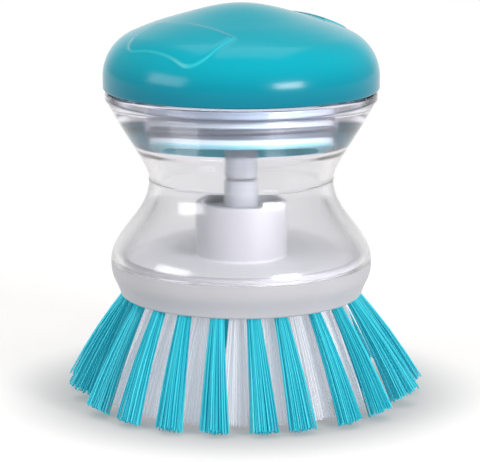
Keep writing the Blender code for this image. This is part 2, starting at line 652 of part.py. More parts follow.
def build_poppet(material, parent):
    """Soft disc on the stem that closes the outlet from below."""
    bore = STEM_TIP_RADIUS + SEAT_GAP
    outline = [(bore, POPPET_FOOT), (POPPET_RADIUS - POPPET_ROUND, POPPET_FOOT)]
    outline += arc((POPPET_RADIUS - POPPET_ROUND, POPPET_FOOT + POPPET_ROUND), POPPET_ROUND,
                   -math.pi / 2, 0, EDGE_STEPS)[1:]
    outline += [(POPPET_RADIUS, POPPET_TOP), (bore, POPPET_TOP)]
    return finish_object("valve_poppet", revolve(outline, SMALL_ROUND_STEPS), material, parent)


def build_clip(material, parent):
    """Push-on ring that keeps the poppet on the stem."""
    ring = ring_outline(STEM_TIP_RADIUS + SEAT_GAP, CLIP_RADIUS, CLIP_FOOT, CLIP_TOP)
    return finish_object("poppet_clip", revolve(ring, SMALL_ROUND_STEPS), material, parent)


def build_gasket(material, parent):
    """Flat silicone ring between the cap's collar and the body's rim."""
    outer = COLLAR_FLANGE_RADIUS - GASKET_INSET
    ring = ring_outline(outer - GASKET_WIDTH, outer, GASKET_FOOT, GASKET_TOP)
    return finish_object("cap_gasket", revolve(ring), material, parent)


def build_cap_skin(material, parent):
    """Soft outer skin of the domed cap, open in the middle for the button."""
    outer = dome_curve(0, BUTTON_HOLE_RADIUS)
    edge = arc((CAP_RADIUS - CAP_EDGE_ROUND, CAP_EDGE + CAP_EDGE_ROUND), CAP_EDGE_ROUND,
               0, -math.pi / 2, EDGE_STEPS)
    inner = [(CAP_RADIUS - SKIN_THICKNESS, CAP_EDGE)]
    inner += list(reversed(dome_curve(SKIN_THICKNESS, BUTTON_HOLE_RADIUS)))
    return finish_object("cap_skin", revolve(outer + edge + inner), material, parent)


def build_cap_frame(material, parent):
    """Rigid dome under the skin: rest ring for the collar, plug in its bore, sleeve for the button."""
    sleeve_bore = BUTTON_FLANGE_RADIUS + RUNNING_GAP
    sleeve_radius = sleeve_bore + SLEEVE_WALL
    sleeve_foot = BUTTON_FLANGE_FOOT - BUTTON_TRAVEL
    ring_top = REST_RING_FOOT + REST_RING_THICKNESS
    outer = dome_curve(FRAME_INSET, BUTTON_HOLE_RADIUS) + [(CAP_RADIUS - FRAME_INSET, CAP_EDGE)]
    ring = [(FRAME_SIDE_RADIUS, CAP_EDGE), (FRAME_SIDE_RADIUS, REST_RING_FOOT),
            (FRAME_SIDE_RADIUS - REST_RING_WIDTH, REST_RING_FOOT),
            (FRAME_SIDE_RADIUS - REST_RING_WIDTH, ring_top)]
    roof = [point for point in dome_curve(FRAME_INNER_INSET, sleeve_radius) if point[1] > ring_top]
    sleeve = [(sleeve_radius, sleeve_foot), (sleeve_bore, sleeve_foot),
              (sleeve_bore, dome_height(sleeve_bore, FRAME_INNER_INSET)),
              (BUTTON_HOLE_RADIUS, dome_height(BUTTON_HOLE_RADIUS, FRAME_INNER_INSET))]
    plug_radius = COLLAR_BORE_RADIUS - SEAT_GAP
    plug_bore = plug_radius - PLUG_WALL
    plug = [(plug_radius, dome_height(plug_radius, FRAME_INNER_INSET)), (plug_radius, PLUG_FOOT),
            (plug_bore, PLUG_FOOT), (plug_bore, dome_height(plug_bore, FRAME_INNER_INSET))]
    outside = [point for point in reversed(roof) if point[0] > plug_radius]
    inside = [point for point in reversed(roof) if point[0] < plug_bore]
    outline = outer + ring + outside + plug + inside + sleeve
    frame = finish_object("cap_frame", revolve(outline), material, parent)
    notch_top = GUIDE_TOP - GUIDE_SPOKE_HEIGHT / 2 + SEAT_GAP
    notch_foot = PLUG_FOOT - CUT_OVERRUN
    for spoke in range(GUIDE_SPOKE_COUNT):
        bearing = GUIDE_FRONT_DEGREES + 360 * spoke / GUIDE_SPOKE_COUNT
        notch = box_builder((GUIDE_SPOKE_WIDTH + 2 * SEAT_GAP, 2 * PLUG_WALL, notch_top - notch_foot),
                            (0, -(plug_radius + plug_bore) / 2, (notch_top + notch_foot) / 2), bearing)
        combine(frame, finish_object(f"plug_notch_{spoke}", notch, material), "DIFFERENCE")
    return frame


def build_cap_collar(material, parent):
    """Clear collar under the cap: flange, male thread ridge, and the spoked guide for the rod."""
    outline = [(COLLAR_BORE_RADIUS, COLLAR_FOOT),
               (COLLAR_RADIUS, COLLAR_FOOT), (COLLAR_RADIUS, FLANGE_FOOT),
               (COLLAR_FLANGE_RADIUS, FLANGE_FOOT), (COLLAR_FLANGE_RADIUS, FLANGE_TOP),
               (COLLAR_BORE_RADIUS, FLANGE_TOP)]
    collar = finish_object("cap_collar", revolve(outline), material, parent)
    ridge = thread_ridge("collar_thread", COLLAR_RADIUS, 1, THREAD_MIDDLE - THREAD_LEAD / 2, material)
    combine(collar, ridge, "UNION")
    guide_radius = ROD_RADIUS + RUNNING_GAP + GUIDE_WALL
    guide_middle = guide_radius - GUIDE_WALL / 2
    spoke_length = COLLAR_BORE_RADIUS + JOIN_DEPTH - guide_middle
    for spoke in range(GUIDE_SPOKE_COUNT):
        bearing = GUIDE_FRONT_DEGREES + 360 * spoke / GUIDE_SPOKE_COUNT
        arm = box_builder((GUIDE_SPOKE_WIDTH, spoke_length, GUIDE_SPOKE_HEIGHT),
                          (0, -guide_middle - spoke_length / 2, GUIDE_TOP - GUIDE_SPOKE_HEIGHT), bearing)
        combine(collar, finish_object(f"guide_spoke_{spoke}", arm, material), "UNION")
    boss = ring_outline(ROD_RADIUS + RUNNING_GAP, guide_radius, GUIDE_TOP - GUIDE_HEIGHT, GUIDE_TOP)
    combine(collar, finish_object("guide_boss", revolve(boss, SMALL_ROUND_STEPS), material), "UNION")
    return collar


def build_button_dome(material, parent):
    """Raised middle of the cap: follows the dome at its edge and swells to a low bump."""
    top = []
    for step in range(BUTTON_STEPS + 1):
        radius = BUTTON_RADIUS * step / BUTTON_STEPS
        swell = (1 + math.cos(math.pi * radius / BUTTON_RADIUS)) / 2
        top.append((radius, dome_height(radius) + BUTTON_BUMP_HEIGHT * swell))
    outline = top + [(BUTTON_RADIUS, BUTTON_SKIN_FOOT), (0, BUTTON_SKIN_FOOT)]
    return finish_object("button_dome", revolve(outline), material, parent)


def build_button_plate(material, parent):
    """Rigid disc under the button, with the flange that the frame stops and the rod's socket."""
    socket_bore = ROD_RADIUS + SEAT_GAP
    socket_radius = socket_bore + SOCKET_WALL
    socket_foot = BUTTON_FLANGE_FOOT - SOCKET_DEPTH
    socket_roof = ROD_TOP + SEAT_GAP
    outline = [(0, socket_roof), (socket_bore, socket_roof), (socket_bore, socket_foot),
               (socket_radius, socket_foot), (socket_radius, BUTTON_FLANGE_FOOT),
               (BUTTON_FLANGE_RADIUS, BUTTON_FLANGE_FOOT), (BUTTON_FLANGE_RADIUS, BUTTON_FLANGE_TOP),
               (BUTTON_RADIUS, BUTTON_FLANGE_TOP), (BUTTON_RADIUS, BUTTON_PLATE_TOP),
               (0, BUTTON_PLATE_TOP)]
    return finish_object("button_plate", revolve(outline, SMALL_ROUND_STEPS), material, parent)


def build_push_rod(material, parent):
    """Rod from the button down to the plunger's head."""
    outline = [(0, ROD_FOOT), (ROD_RADIUS - ROD_EDGE, ROD_FOOT), (ROD_RADIUS, ROD_FOOT + ROD_EDGE),
               (ROD_RADIUS, ROD_TOP), (0, ROD_TOP)]
    return finish_object("push_rod", revolve(outline, SMALL_ROUND_STEPS), material, parent)


def main():
    clear_scene()
    teal_skin = make_material("teal_soft_skin", TEAL, 0.42)
    teal_frame = make_material("teal_rigid_plastic", TEAL, 0.35)
    teal_bristle = make_material("teal_nylon", TEAL_BRISTLE, 0.40)
    white = make_material("white_plastic", WHITE_PLASTIC, 0.35)
    white_bristle = make_material("white_nylon", WHITE_BRISTLE, 0.40)
    clear = make_material("clear_plastic", CLEAR_PLASTIC, 0.05, transmission=1.0)
    smoke = make_material("smoke_plastic", SMOKE_PLASTIC, 0.25, transmission=0.5)
    silicone = make_material("silicone", SILICONE, 0.50)
    steel = make_material("spring_steel", STEEL, 0.30, metallic=1.0)

    build_body_shell(clear)
    build_brush_plate(white)
    build_plate_seal(silicone)
    build_outlet_seat(silicone)
    build_spring_washer(steel)
    build_return_spring(steel)
    build_tuft_ring("teal_tufts", TEAL_RING_RADIUS, TEAL_BACKING, TEAL_TUFT_COUNT, TEAL_LEAN,
                    TEAL_START_DEGREES, TEAL_ROW_COUNTS, teal_bristle)
    build_tuft_ring("white_tufts_outer", WHITE_OUTER_RADIUS, WHITE_OUTER_BACKING, WHITE_OUTER_TUFT_COUNT,
                    WHITE_OUTER_LEAN, WHITE_START_DEGREES, WHITE_OUTER_ROW_COUNTS, white_bristle)
    build_tuft_ring("white_tufts_middle", WHITE_MIDDLE_RADIUS, WHITE_MIDDLE_BACKING,
                    WHITE_MIDDLE_TUFT_COUNT, WHITE_MIDDLE_LEAN, WHITE_START_DEGREES,
                    WHITE_MIDDLE_ROW_COUNTS, white_bristle)
    build_tuft_ring("white_tufts_inner", WHITE_INNER_RADIUS, WHITE_INNER_BACKING,
                    WHITE_INNER_TUFT_COUNT, WHITE_INNER_LEAN, WHITE_START_DEGREES,
                    WHITE_INNER_ROW_COUNTS, white_bristle)

    lift = joint_empty("cap_lift_axis", BODY_TOP)
    turn = joint_empty("cap_turn_axis", BODY_TOP, lift)
    press = joint_empty("button_press_axis", BUTTON_PLATE_TOP, turn)
    valve = joint_empty("valve_axis", PLUNGER_TOP)
    build_gasket(silicone, lift)
    build_cap_skin(teal_skin, turn)
    build_cap_frame(teal_frame, turn)
    build_cap_collar(clear, turn)
    build_button_dome(teal_skin, press)
    build_button_plate(white, press)
    build_push_rod(smoke, press)
    build_plunger(smoke, valve)
    build_poppet(silicone, valve)
    build_clip(white, valve)


main()
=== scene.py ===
# %% [markdown]
# # A palm brush that gives soap
#
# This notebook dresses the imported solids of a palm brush. The brush has a soft domed cap, a clear
# hourglass reservoir, a white plate and splayed bristles. The solids hold every size and every joint.
# The cells below give each piece its fine surface and its finish, and never move a solid.

import math
import random

import bmesh
import bpy
from mathutils import Matrix, Vector
from mathutils.geometry import interpolate_bezier


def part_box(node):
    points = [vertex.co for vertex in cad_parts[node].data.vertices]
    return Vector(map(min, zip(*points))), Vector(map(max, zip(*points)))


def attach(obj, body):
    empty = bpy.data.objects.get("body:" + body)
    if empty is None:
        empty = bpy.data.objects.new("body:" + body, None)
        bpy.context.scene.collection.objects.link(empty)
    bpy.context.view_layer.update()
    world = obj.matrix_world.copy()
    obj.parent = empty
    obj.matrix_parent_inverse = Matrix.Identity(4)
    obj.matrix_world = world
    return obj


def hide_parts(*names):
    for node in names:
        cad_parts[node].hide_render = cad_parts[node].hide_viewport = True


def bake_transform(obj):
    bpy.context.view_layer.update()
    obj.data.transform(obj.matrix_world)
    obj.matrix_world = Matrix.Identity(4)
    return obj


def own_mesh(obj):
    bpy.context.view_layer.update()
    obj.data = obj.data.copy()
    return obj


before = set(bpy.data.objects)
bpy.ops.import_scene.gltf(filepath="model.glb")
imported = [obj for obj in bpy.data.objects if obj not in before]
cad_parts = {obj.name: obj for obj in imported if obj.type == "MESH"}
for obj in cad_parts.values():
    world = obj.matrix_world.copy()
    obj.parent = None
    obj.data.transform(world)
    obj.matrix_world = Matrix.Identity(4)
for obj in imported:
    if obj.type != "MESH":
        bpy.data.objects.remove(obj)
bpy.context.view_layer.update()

# %% [markdown]
# A round piece needs three numbers: its widest radius, its foot and its top. Typed in, they would
# go out of date when a solid changes. So they are read from the solid that the piece stands for.


# %% Read sizes from the solids
def extent(node):
    """Widest radius, foot and top of a round solid, in metres."""
    low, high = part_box(node)
    return max(high[0], -low[0]), low[2], high[2]


BODY_RADIUS, BODY_FOOT, BODY_TOP = extent("body_shell")
PLATE_RADIUS, PLATE_UNDERSIDE, WELL_TOP = extent("brush_plate")
CAP_RADIUS, CAP_EDGE, _ = extent("cap_skin")
BUTTON_RADIUS, _, BUTTON_TOP = extent("button_dome")
ROD_RADIUS, ROD_FOOT, ROD_TOP = extent("push_rod")
FLANGE_RADIUS, COLLAR_FOOT, FLANGE_TOP = extent("cap_collar")
PLUNGER_FLANGE_RADIUS, STEM_TIP, PLUNGER_TOP = extent("valve_plunger")
SPRING_REACH, SPRING_FOOT, SPRING_TOP = extent("return_spring")
print(f"cap {2 * CAP_RADIUS:.4f} m across, brush {BUTTON_TOP:.4f} m high")

# %% [markdown]
# The brush is seen from a little above its cap, so the rims of cap and plate are flat ellipses. A
# short lens from near by would open them unevenly. A 180 mm lens, 0.57 m away and 11.8 degrees
# above level, draws each as flat as it looks.

# %% Camera
LENS_MM = 180
SENSOR_MM = 36
AIM_HEIGHT = 0.03924
VIEW_DISTANCE = 0.570
VIEW_ELEVATION = math.radians(11.8)
SIDE_STEP = 0.000285


def put_in_scene(name, data):
    """Makes an object that shows some data."""
    item = bpy.data.objects.new(name, data)
    bpy.context.scene.collection.objects.link(item)
    return item


camera_data = bpy.data.cameras.new("camera")
camera_data.lens = LENS_MM
camera_data.sensor_width = SENSOR_MM
camera = put_in_scene("camera", camera_data)
camera.location = (-SIDE_STEP, -VIEW_DISTANCE * math.cos(VIEW_ELEVATION),
                   AIM_HEIGHT + VIEW_DISTANCE * math.sin(VIEW_ELEVATION))
camera.rotation_euler = (math.pi / 2 - VIEW_ELEVATION, 0, 0)
bpy.context.scene.camera = camera
bpy.context.scene.view_settings.view_transform = "Standard"
print(f"camera {camera.location.length:.3f} m from the foot of the brush")

# %% [markdown]
# A finish is a small graph of nodes. It could be wired by hand in the Shader Editor, but sums are
# easier to read as sums. So `Wire` turns `a * b + c` into Math nodes, and every other node comes
# from `Finish.add`.


# %% Shader sums
class Wire:
    """A socket of a material that can be used in sums with numbers and other wires."""

    def __init__(self, finish, socket):
        self.finish = finish
        self.socket = socket

    def combined(self, operation, first, second):
        node = self.finish.add("ShaderNodeMath", {"operation": operation}, {0: first, 1: second})
        return node.out()

    def __add__(self, other):
        return self.combined("ADD", self, other)

    def __radd__(self, other):
        return self.combined("ADD", other, self)

    def __sub__(self, other):
        return self.combined("SUBTRACT", self, other)

    def __rsub__(self, other):
        return self.combined("SUBTRACT", other, self)

    def __mul__(self, other):
        return self.combined("MULTIPLY", self, other)

    def __rmul__(self, other):
        return self.combined("MULTIPLY", other, self)

    def most(self, other):
        """The larger of the two values."""
        return self.combined("MAXIMUM", self, other)

    def clear_of(self, other):
        """1 where this value is the larger, else 0."""
        return self.combined("GREATER_THAN", self, other)


class Placed:
    """A node that was added, with its outputs as wires."""

    def __init__(self, finish, node):
        self.finish = finish
        self.node = node

    def out(self, name=0):
        return Wire(self.finish, self.node.outputs[name])


class Finish:
    """A node material, or the world, under construction."""

    def __init__(self, owner):
        self.owner = owner
        owner.use_nodes = True
        self.tree = owner.node_tree
        self.tree.nodes.clear()

    def add(self, kind, settings=None, sockets=None):
        """Adds one node: its settings first, then the values or links of its sockets."""
        node = self.tree.nodes.new(kind)
        for name, value in (settings or {}).items():
            if name == "stops":
                self.set_stops(node.color_ramp, value)
            else:
                setattr(node, name, value)
        for name, value in (sockets or {}).items():
            if isinstance(value, Wire):
                self.tree.links.new(value.socket, node.inputs[name])
            else:
                node.inputs[name].default_value = value
        return Placed(self, node)

    def set_stops(self, ramp, stops):
        while len(ramp.elements) < len(stops):
            ramp.elements.new(1.0)
        for element, (place, shade) in zip(ramp.elements, stops):
            element.position = place
            element.color = shade

    def surface(self, shader):
        self.add("ShaderNodeOutputMaterial", None, {"Surface": shader})
        return self.owner


def new_finish(name):
    return Finish(bpy.data.materials.new(name))


def colour(red, green, blue):
    return (red, green, blue, 1.0)


# %% [markdown]
# A few small graphs come back in every finish, such as a height, a random pattern, a mix and a
# bump. Node groups could hold them, but a plain function shows at a glance what it builds.


# %% Parts that finishes share
def place_on(finish):
    """Place on the piece, in object coordinates."""
    return finish.add("ShaderNodeTexCoord").out("Object")


def height_on(finish):
    return finish.add("ShaderNodeSeparateXYZ", None, {0: place_on(finish)}).out("Z")


def noise(finish, scale, detail=2.0):
    """Smooth random values about 0.5, with a pattern of 1 / scale metres."""
    sockets = {"Vector": place_on(finish), "Scale": scale, "Detail": detail}
    return finish.add("ShaderNodeTexNoise", None, sockets).out("Fac")


def blend(finish, amount, first, second):
    """Mixes two colours."""
    mix = finish.add("ShaderNodeMix", {"data_type": "RGBA"}, {0: amount, 6: first, 7: second})
    return mix.out(2)


def soft_step(finish, value, start, end, low=0.0, high=1.0):
    """Goes smoothly from low to high while the value goes from start to end."""
    return finish.add("ShaderNodeMapRange", {"interpolation_type": "SMOOTHSTEP"}, {
        "Value": value, "From Min": start, "From Max": end, "To Min": low, "To Max": high}).out()


def fade(finish, value, origin, offsets):
    """A soft step between two offsets from an origin."""
    return soft_step(finish, value, origin + offsets[0], origin + offsets[1])


def bump(finish, height, depth, strength=1.0, under=None):
    """Normals of a pattern of heights, on top of another bump if one is given."""
    sockets = {"Height": height, "Distance": depth, "Strength": strength}
    if under is not None:
        sockets["Normal"] = under
    return finish.add("ShaderNodeBump", None, sockets).out("Normal")


def mix_shaders(finish, share, first, second):
    return finish.add("ShaderNodeMixShader", None, {0: share, 1: first, 2: second}).out()


def principled(finish, **sockets):
    """A Principled shader; an underscore in a socket's name stands for a space."""
    values = {name.replace("_", " "): value for name, value in sockets.items()}
    return finish.add("ShaderNodeBsdfPrincipled", None, values).out()


# %% [markdown]
# The brush stands on white card. Lamps bright enough to turn it white would wash out the brush. So
# near the brush the card takes light and shadow, a painted shadow darkens it under the bristles, and a
# little light of its own lifts it to white. Only rays from the camera, a gloss or clear plastic get
# that lift. Further out the disc is plain white.

# %% Floor
CARD_RADIUS = 3.0
CARD_STEPS = 96
SHADE_START = 0.12
SHADE_END = 0.28
PAINTED_SHADOW_START = 0.034
PAINTED_SHADOW_END = 0.064
CARD_COLOUR = colour(0.82, 0.80, 0.79)
PAINTED_SHADOW_COLOUR = colour(0.41, 0.40, 0.395)
CARD_LIFT = 0.21
FAR_FLOOR_LEVEL = 0.45
WHITE = colour(1.0, 1.0, 1.0)


def seen_directly(finish):
    """1 for rays that show the background: from the camera, a gloss or clear plastic.

    A ray that left a plain surface carries light, also where it then goes through clear plastic.
    """
    rays = finish.add("ShaderNodeLightPath")
    seen = rays.out("Is Camera Ray").most(rays.out("Is Glossy Ray"))
    return seen.most(rays.out("Is Transmission Ray")) * (1 - rays.out("Diffuse Depth").clear_of(0.5))


def card_finish():
    """White card with a painted shadow under the bristles, and plain white far away."""
    finish = new_finish("white_card")
    reach = finish.add("ShaderNodeVectorMath", {"operation": "LENGTH"}, {0: place_on(finish)}).out("Value")
    # painted shadow: the card's colour darkens towards the brush
    tone = blend(finish, soft_step(finish, reach, PAINTED_SHADOW_START, PAINTED_SHADOW_END), PAINTED_SHADOW_COLOUR, CARD_COLOUR)
    card = finish.add("ShaderNodeBsdfDiffuse", None, {"Color": tone}).out()
    glow = finish.add("ShaderNodeEmission", None,
                      {"Color": WHITE, "Strength": seen_directly(finish) * CARD_LIFT}).out()
    lit = finish.add("ShaderNodeAddShader", None, {0: card, 1: glow}).out()
    level = FAR_FLOOR_LEVEL + seen_directly(finish) * (1 - FAR_FLOOR_LEVEL)
    plain = finish.add("ShaderNodeEmission", None, {"Color": WHITE, "Strength": level}).out()
    away = soft_step(finish, reach, SHADE_START, SHADE_END)
    return finish.surface(mix_shaders(finish, away, lit, plain))


def make_floor():
    builder = bmesh.new()
    bmesh.ops.create_circle(builder, cap_ends=True, segments=CARD_STEPS, radius=CARD_RADIUS)
    mesh = bpy.data.meshes.new("floor")
    builder.to_mesh(mesh)
    builder.free()
    mesh.materials.append(card_finish())
    disc = put_in_scene("floor", mesh)
    return disc


floor = make_floor()
print(f"floor {floor.dimensions.x:.1f} m across")

# %% [markdown]
# The world is white behind the brush and dimmer in front of it. An even white would be simpler, but
# clear plastic shows only by what it bends into view, and the dim part draws its rims and waist in
# grey. Plain surfaces get an even pale fill. A gloss sees white only straight behind the brush, so
# the cap keeps its deep colour at the sides.

# %% Background
FILL_BELOW = 0.43
FILL_ABOVE = 0.73
FRONT_LEVEL = 0.55
GLOSS_LEVEL = 0.45
DIM_BEFORE = -0.10
BRIGHT_BEYOND = 0.60
GLOSS_DIM_BEFORE = 0.70
GLOSS_BRIGHT_BEYOND = 0.95


def studio_world():
    world = bpy.data.worlds.new("studio")
    bpy.context.scene.world = world
    finish = Finish(world)
    towards = finish.add("ShaderNodeSeparateXYZ", None,
                         {0: finish.add("ShaderNodeTexCoord").out("Generated")})
    above = finish.add("ShaderNodeMapRange", None, {
        "Value": towards.out("Z"), "To Min": FILL_BELOW, "To Max": FILL_ABOVE}).out()
    fill = finish.add("ShaderNodeBackground", None, {"Color": WHITE, "Strength": above}).out()
    plain_level = soft_step(finish, towards.out("Y"), DIM_BEFORE, BRIGHT_BEYOND, FRONT_LEVEL, 1.0)
    gloss_level = soft_step(finish, towards.out("Y"), GLOSS_DIM_BEFORE, GLOSS_BRIGHT_BEYOND,
                            GLOSS_LEVEL, 1.0)
    gloss = finish.add("ShaderNodeLightPath").out("Is Glossy Ray")
    level = plain_level + gloss * (gloss_level - plain_level)
    white = finish.add("ShaderNodeBackground", None, {"Color": WHITE, "Strength": level}).out()
    finish.add("ShaderNodeOutputWorld", None,
               {"Surface": mix_shaders(finish, seen_directly(finish), fill, white)})
    return world


print("world made:", studio_world().name)

# %% [markdown]
# Three soft boxes light the brush. A wide pale one on the left and a small bright one on the right
# draw the highlights on the cap, and one above lights its crown. Sun lamps would be easier to
# place, but their highlights are points, not soft patches.

# %% Lamps
LAMP_AIM = Vector((0, 0, 0.06))


def soft_box(name, bearing_degrees, elevation_degrees, distance, size, power):
    """A rectangular lamp that faces the cap. Its bearing is measured from the front, to the right."""
    data = bpy.data.lights.new(name, "AREA")
    data.shape = "RECTANGLE"
    data.size, data.size_y = size
    data.energy = power
    lamp = put_in_scene(name, data)
    bearing = math.radians(bearing_degrees)
    elevation = math.radians(elevation_degrees)
    towards = Vector((math.sin(bearing) * math.cos(elevation), -math.cos(bearing) * math.cos(elevation),
                      math.sin(elevation)))
    lamp.location = LAMP_AIM + towards * distance
    lamp.rotation_euler = (-towards).to_track_quat("-Z", "Y").to_euler()
    return lamp


lamps = [soft_box("left_box", -65, 17, distance=0.84, size=(0.50, 0.28), power=2.4),
         soft_box("right_box", 39, 12, distance=0.84, size=(0.33, 0.16), power=5.0),
         soft_box("top_box", 180, 78, distance=0.75, size=(0.60, 0.50), power=1.4)]
print("lamps:", ", ".join(lamp.name for lamp in lamps))

# %% [markdown]
# Most pieces are turned shapes. A Screw modifier could make them, but here shapes are joined and
# cut afterwards, so one helper spins an outline once round the axis. A full spin merges its last
# row with its first.


# %% Turned shapes
ROUND_STEPS = 128
MERGE_DISTANCE = 0.0000005


def turned(outline, steps=ROUND_STEPS, closed=True):
    """Spins an (r, z) outline round the Z axis. An open one has to begin and end on the axis."""
    builder = bmesh.new()
    corners = [builder.verts.new((r, 0, z)) for r, z in outline]
    first = 0 if closed else 1
    edges = [builder.edges.new((corners[index - 1], corners[index]))
             for index in range(first, len(corners))
             if outline[index - 1][0] > 0 or outline[index][0] > 0]
    bmesh.ops.spin(builder, geom=corners + edges, cent=(0, 0, 0), axis=(0, 0, 1),
                   dvec=(0, 0, 0), angle=math.tau, steps=steps, use_merge=True)
    bmesh.ops.remove_doubles(builder, verts=builder.verts, dist=MERGE_DISTANCE)
    bmesh.ops.recalc_face_normals(builder, faces=builder.faces)
    return builder


def arc(centre, radius, start, end, steps):
    """Points along an arc; angles are measured from +r towards +z."""
    return [(centre[0] + radius * math.cos(angle), centre[1] + radius * math.sin(angle))
            for angle in (start + (end - start) * step / steps for step in range(steps + 1))]


def bezier(start, start_handle, end_handle, end, steps):
    """Points along one Bezier span in the (r, z) plane."""
    corners = [Vector((r, z, 0)) for r, z in (start, start_handle, end_handle, end)]
    return [(point.x, point.y) for point in interpolate_bezier(*corners, steps + 1)]


# %% [markdown]
# Every piece ends the same way: it gets its finish, rides on the body that carries it and stands
# for its solids. Curved faces are shaded smooth up to a sharp angle. The vertices hold the place,
# so the object itself stays at the origin, as the solids do.

# %% From a bmesh to a piece
SMOOTH_ANGLE = math.radians(32)


def show_piece(name, mesh, material, body, replaced):
    """Makes a piece that rides on a body, or on none, and stands for some solids."""
    mesh.materials.clear()
    mesh.materials.append(material)
    piece = put_in_scene(name, mesh)
    if body is not None:
        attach(piece, body)
    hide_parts(*replaced)
    print(f"{name}: {len(mesh.polygons)} faces")
    return piece


def make_piece(name, builder, material, body, replaced):
    """Turns a bmesh into a piece that is smooth between its sharp edges."""
    mesh = bpy.data.meshes.new(name)
    builder.to_mesh(mesh)
    builder.free()
    mesh.shade_smooth()
    mesh.set_sharp_from_angle(angle=SMOOTH_ANGLE)
    return show_piece(name, mesh, material, body, replaced)


# %% [markdown]
# Inlets and notches break the round form. Their edges could be bisected plane by plane, but a
# Boolean modifier takes a whole box away at once. It works on objects, so the shapes are objects
# for a moment, and the result is read back into a bmesh.


# %% Cutting and joining
def shown_mesh(piece):
    """The mesh of an object after its modifiers."""
    graph = bpy.context.evaluated_depsgraph_get()
    return bpy.data.meshes.new_from_object(piece.evaluated_get(graph))


def carved(builder, cutters):
    """Cuts shapes out of a bmesh and returns the result."""
    scratch = []
    for index, shape in enumerate([builder] + list(cutters)):
        mesh = bpy.data.meshes.new(f"shape_{index}")
        shape.to_mesh(mesh)
        shape.free()
        scratch.append(put_in_scene(f"shape_{index}", mesh))
    for cutter in scratch[1:]:
        modifier = scratch[0].modifiers.new("carve", "BOOLEAN")
        modifier.operation = "DIFFERENCE"
        modifier.solver = "EXACT"
        modifier.object = cutter
    result = bmesh.new()
    result.from_mesh(shown_mesh(scratch[0]))
    for item in scratch:
        bpy.data.objects.remove(item, do_unlink=True)
    return result


def joined(first, second):
    """Adds one bmesh to another and returns it."""
    mesh = bpy.data.meshes.new("joined")
    second.to_mesh(mesh)
    second.free()
    first.from_mesh(mesh)
    bpy.data.meshes.remove(mesh)
    return first


def block(size, centre, bearing_degrees):
    """A box, turned round the Z axis after it is placed."""
    builder = bmesh.new()
    bmesh.ops.create_cube(builder, size=1)
    bmesh.ops.scale(builder, vec=size, verts=builder.verts)
    bmesh.ops.translate(builder, vec=centre, verts=builder.verts)
    turn = Matrix.Rotation(math.radians(bearing_degrees), 3, "Z")
    bmesh.ops.rotate(builder, cent=(0, 0, 0), matrix=turn, verts=builder.verts)
    return builder


# %% [markdown]
# Clear plastic bends light as glass does. Plain glass would shade all that is inside, because a
# renderer can't easily follow bent light to a lamp, so rays towards a lamp pass straight through. A
# faint wavy bump stands for the flow of the plastic in its mould, and the tint changes in bands.

# %% Clear plastic
CLEAR_TINT = colour(0.872, 0.868, 0.882)
RIM_TINT = colour(0.965, 0.955, 1.0)
LILAC_TINT = colour(0.80, 0.80, 0.96)
SHADOW_TINT = colour(0.96, 0.96, 0.97)
CLEAR_IOR = 1.49
FLOW_SCALE = 60.0
FLOW_DETAIL = 1.0
FLOW_DEPTH = 0.00004


def banded_tint(finish, bands):
    """A colour that changes with height. The bands are heights with their colours, lowest first."""
    lowest, highest = bands[0][0], bands[-1][0]
    share = finish.add("ShaderNodeMapRange", None, {
        "Value": height_on(finish), "From Min": lowest, "From Max": highest}).out()
    stops = [((level - lowest) / (highest - lowest), shade) for level, shade in bands]
    return finish.add("ShaderNodeValToRGB", {"stops": stops}, {0: share}).out()


def clear_finish(name, bands, roughness, clearness):
    """Clear plastic with bands of tint. A clearness below 1 makes it cloudy."""
    finish = new_finish(name)
    flow = noise(finish, FLOW_SCALE, FLOW_DETAIL)
    plastic = principled(finish, Base_Color=banded_tint(finish, bands), Roughness=roughness,
                         IOR=CLEAR_IOR, Transmission_Weight=clearness,
                         Normal=bump(finish, flow, FLOW_DEPTH))
    through = finish.add("ShaderNodeBsdfTransparent", None, {"Color": SHADOW_TINT}).out()
    to_lamp = finish.add("ShaderNodeLightPath").out("Is Shadow Ray")
    return finish.surface(mix_shaders(finish, to_lamp, plastic, through))


# %% [markdown]
# The reservoir is one clear moulding with a waist, and the fine ridge there is the parting line of
# its mould. A sculpted mesh could look the same, but its sizes would be hard to hold. So two Bezier
# spans draw the outside and meet upright at the waist. The wall follows inside, and a curved ledge
# leads it up into the narrower mouth.

# %% Clear reservoir
BODY_WALL = 0.0030
WAIST_HEIGHT = 0.0194
WAIST_DRAW_IN = 0.01025
RIM_HEIGHT = 0.0024
RIM_STEP = 0.0006
RIM_ROUND = 0.0006
RIM_WIDTH = 0.0091
MOUTH_DEPTH = 0.0120
LEDGE_FALL = 0.0016
LEDGE_RISE = 0.0010
NECK_LEAN = math.radians(26)
FOOT_FULLNESS_SHARE = 0.35
WAIST_LOWER_FULLNESS_SHARE = 0.45
WAIST_UPPER_FULLNESS_SHARE = 0.20
NECK_FULLNESS_SHARE = 0.50
SEAM_WIDTH = 0.00022
SEAM_RISE = 0.00012
FLANK_STEPS = 20
LEDGE_STEPS = 8
EDGE_STEPS = 6
SMALL_EDGE_STEPS = 5
WAIST = BODY_FOOT + WAIST_HEIGHT
WAIST_RADIUS = BODY_RADIUS - WAIST_DRAW_IN
NECK = BODY_TOP - RIM_HEIGHT
NECK_RADIUS = BODY_RADIUS - RIM_STEP
MOUTH_RADIUS = BODY_RADIUS - RIM_WIDTH
LEDGE_FOOT = BODY_TOP - MOUTH_DEPTH - LEDGE_FALL
LEDGE_TOP = BODY_TOP - MOUTH_DEPTH + LEDGE_RISE


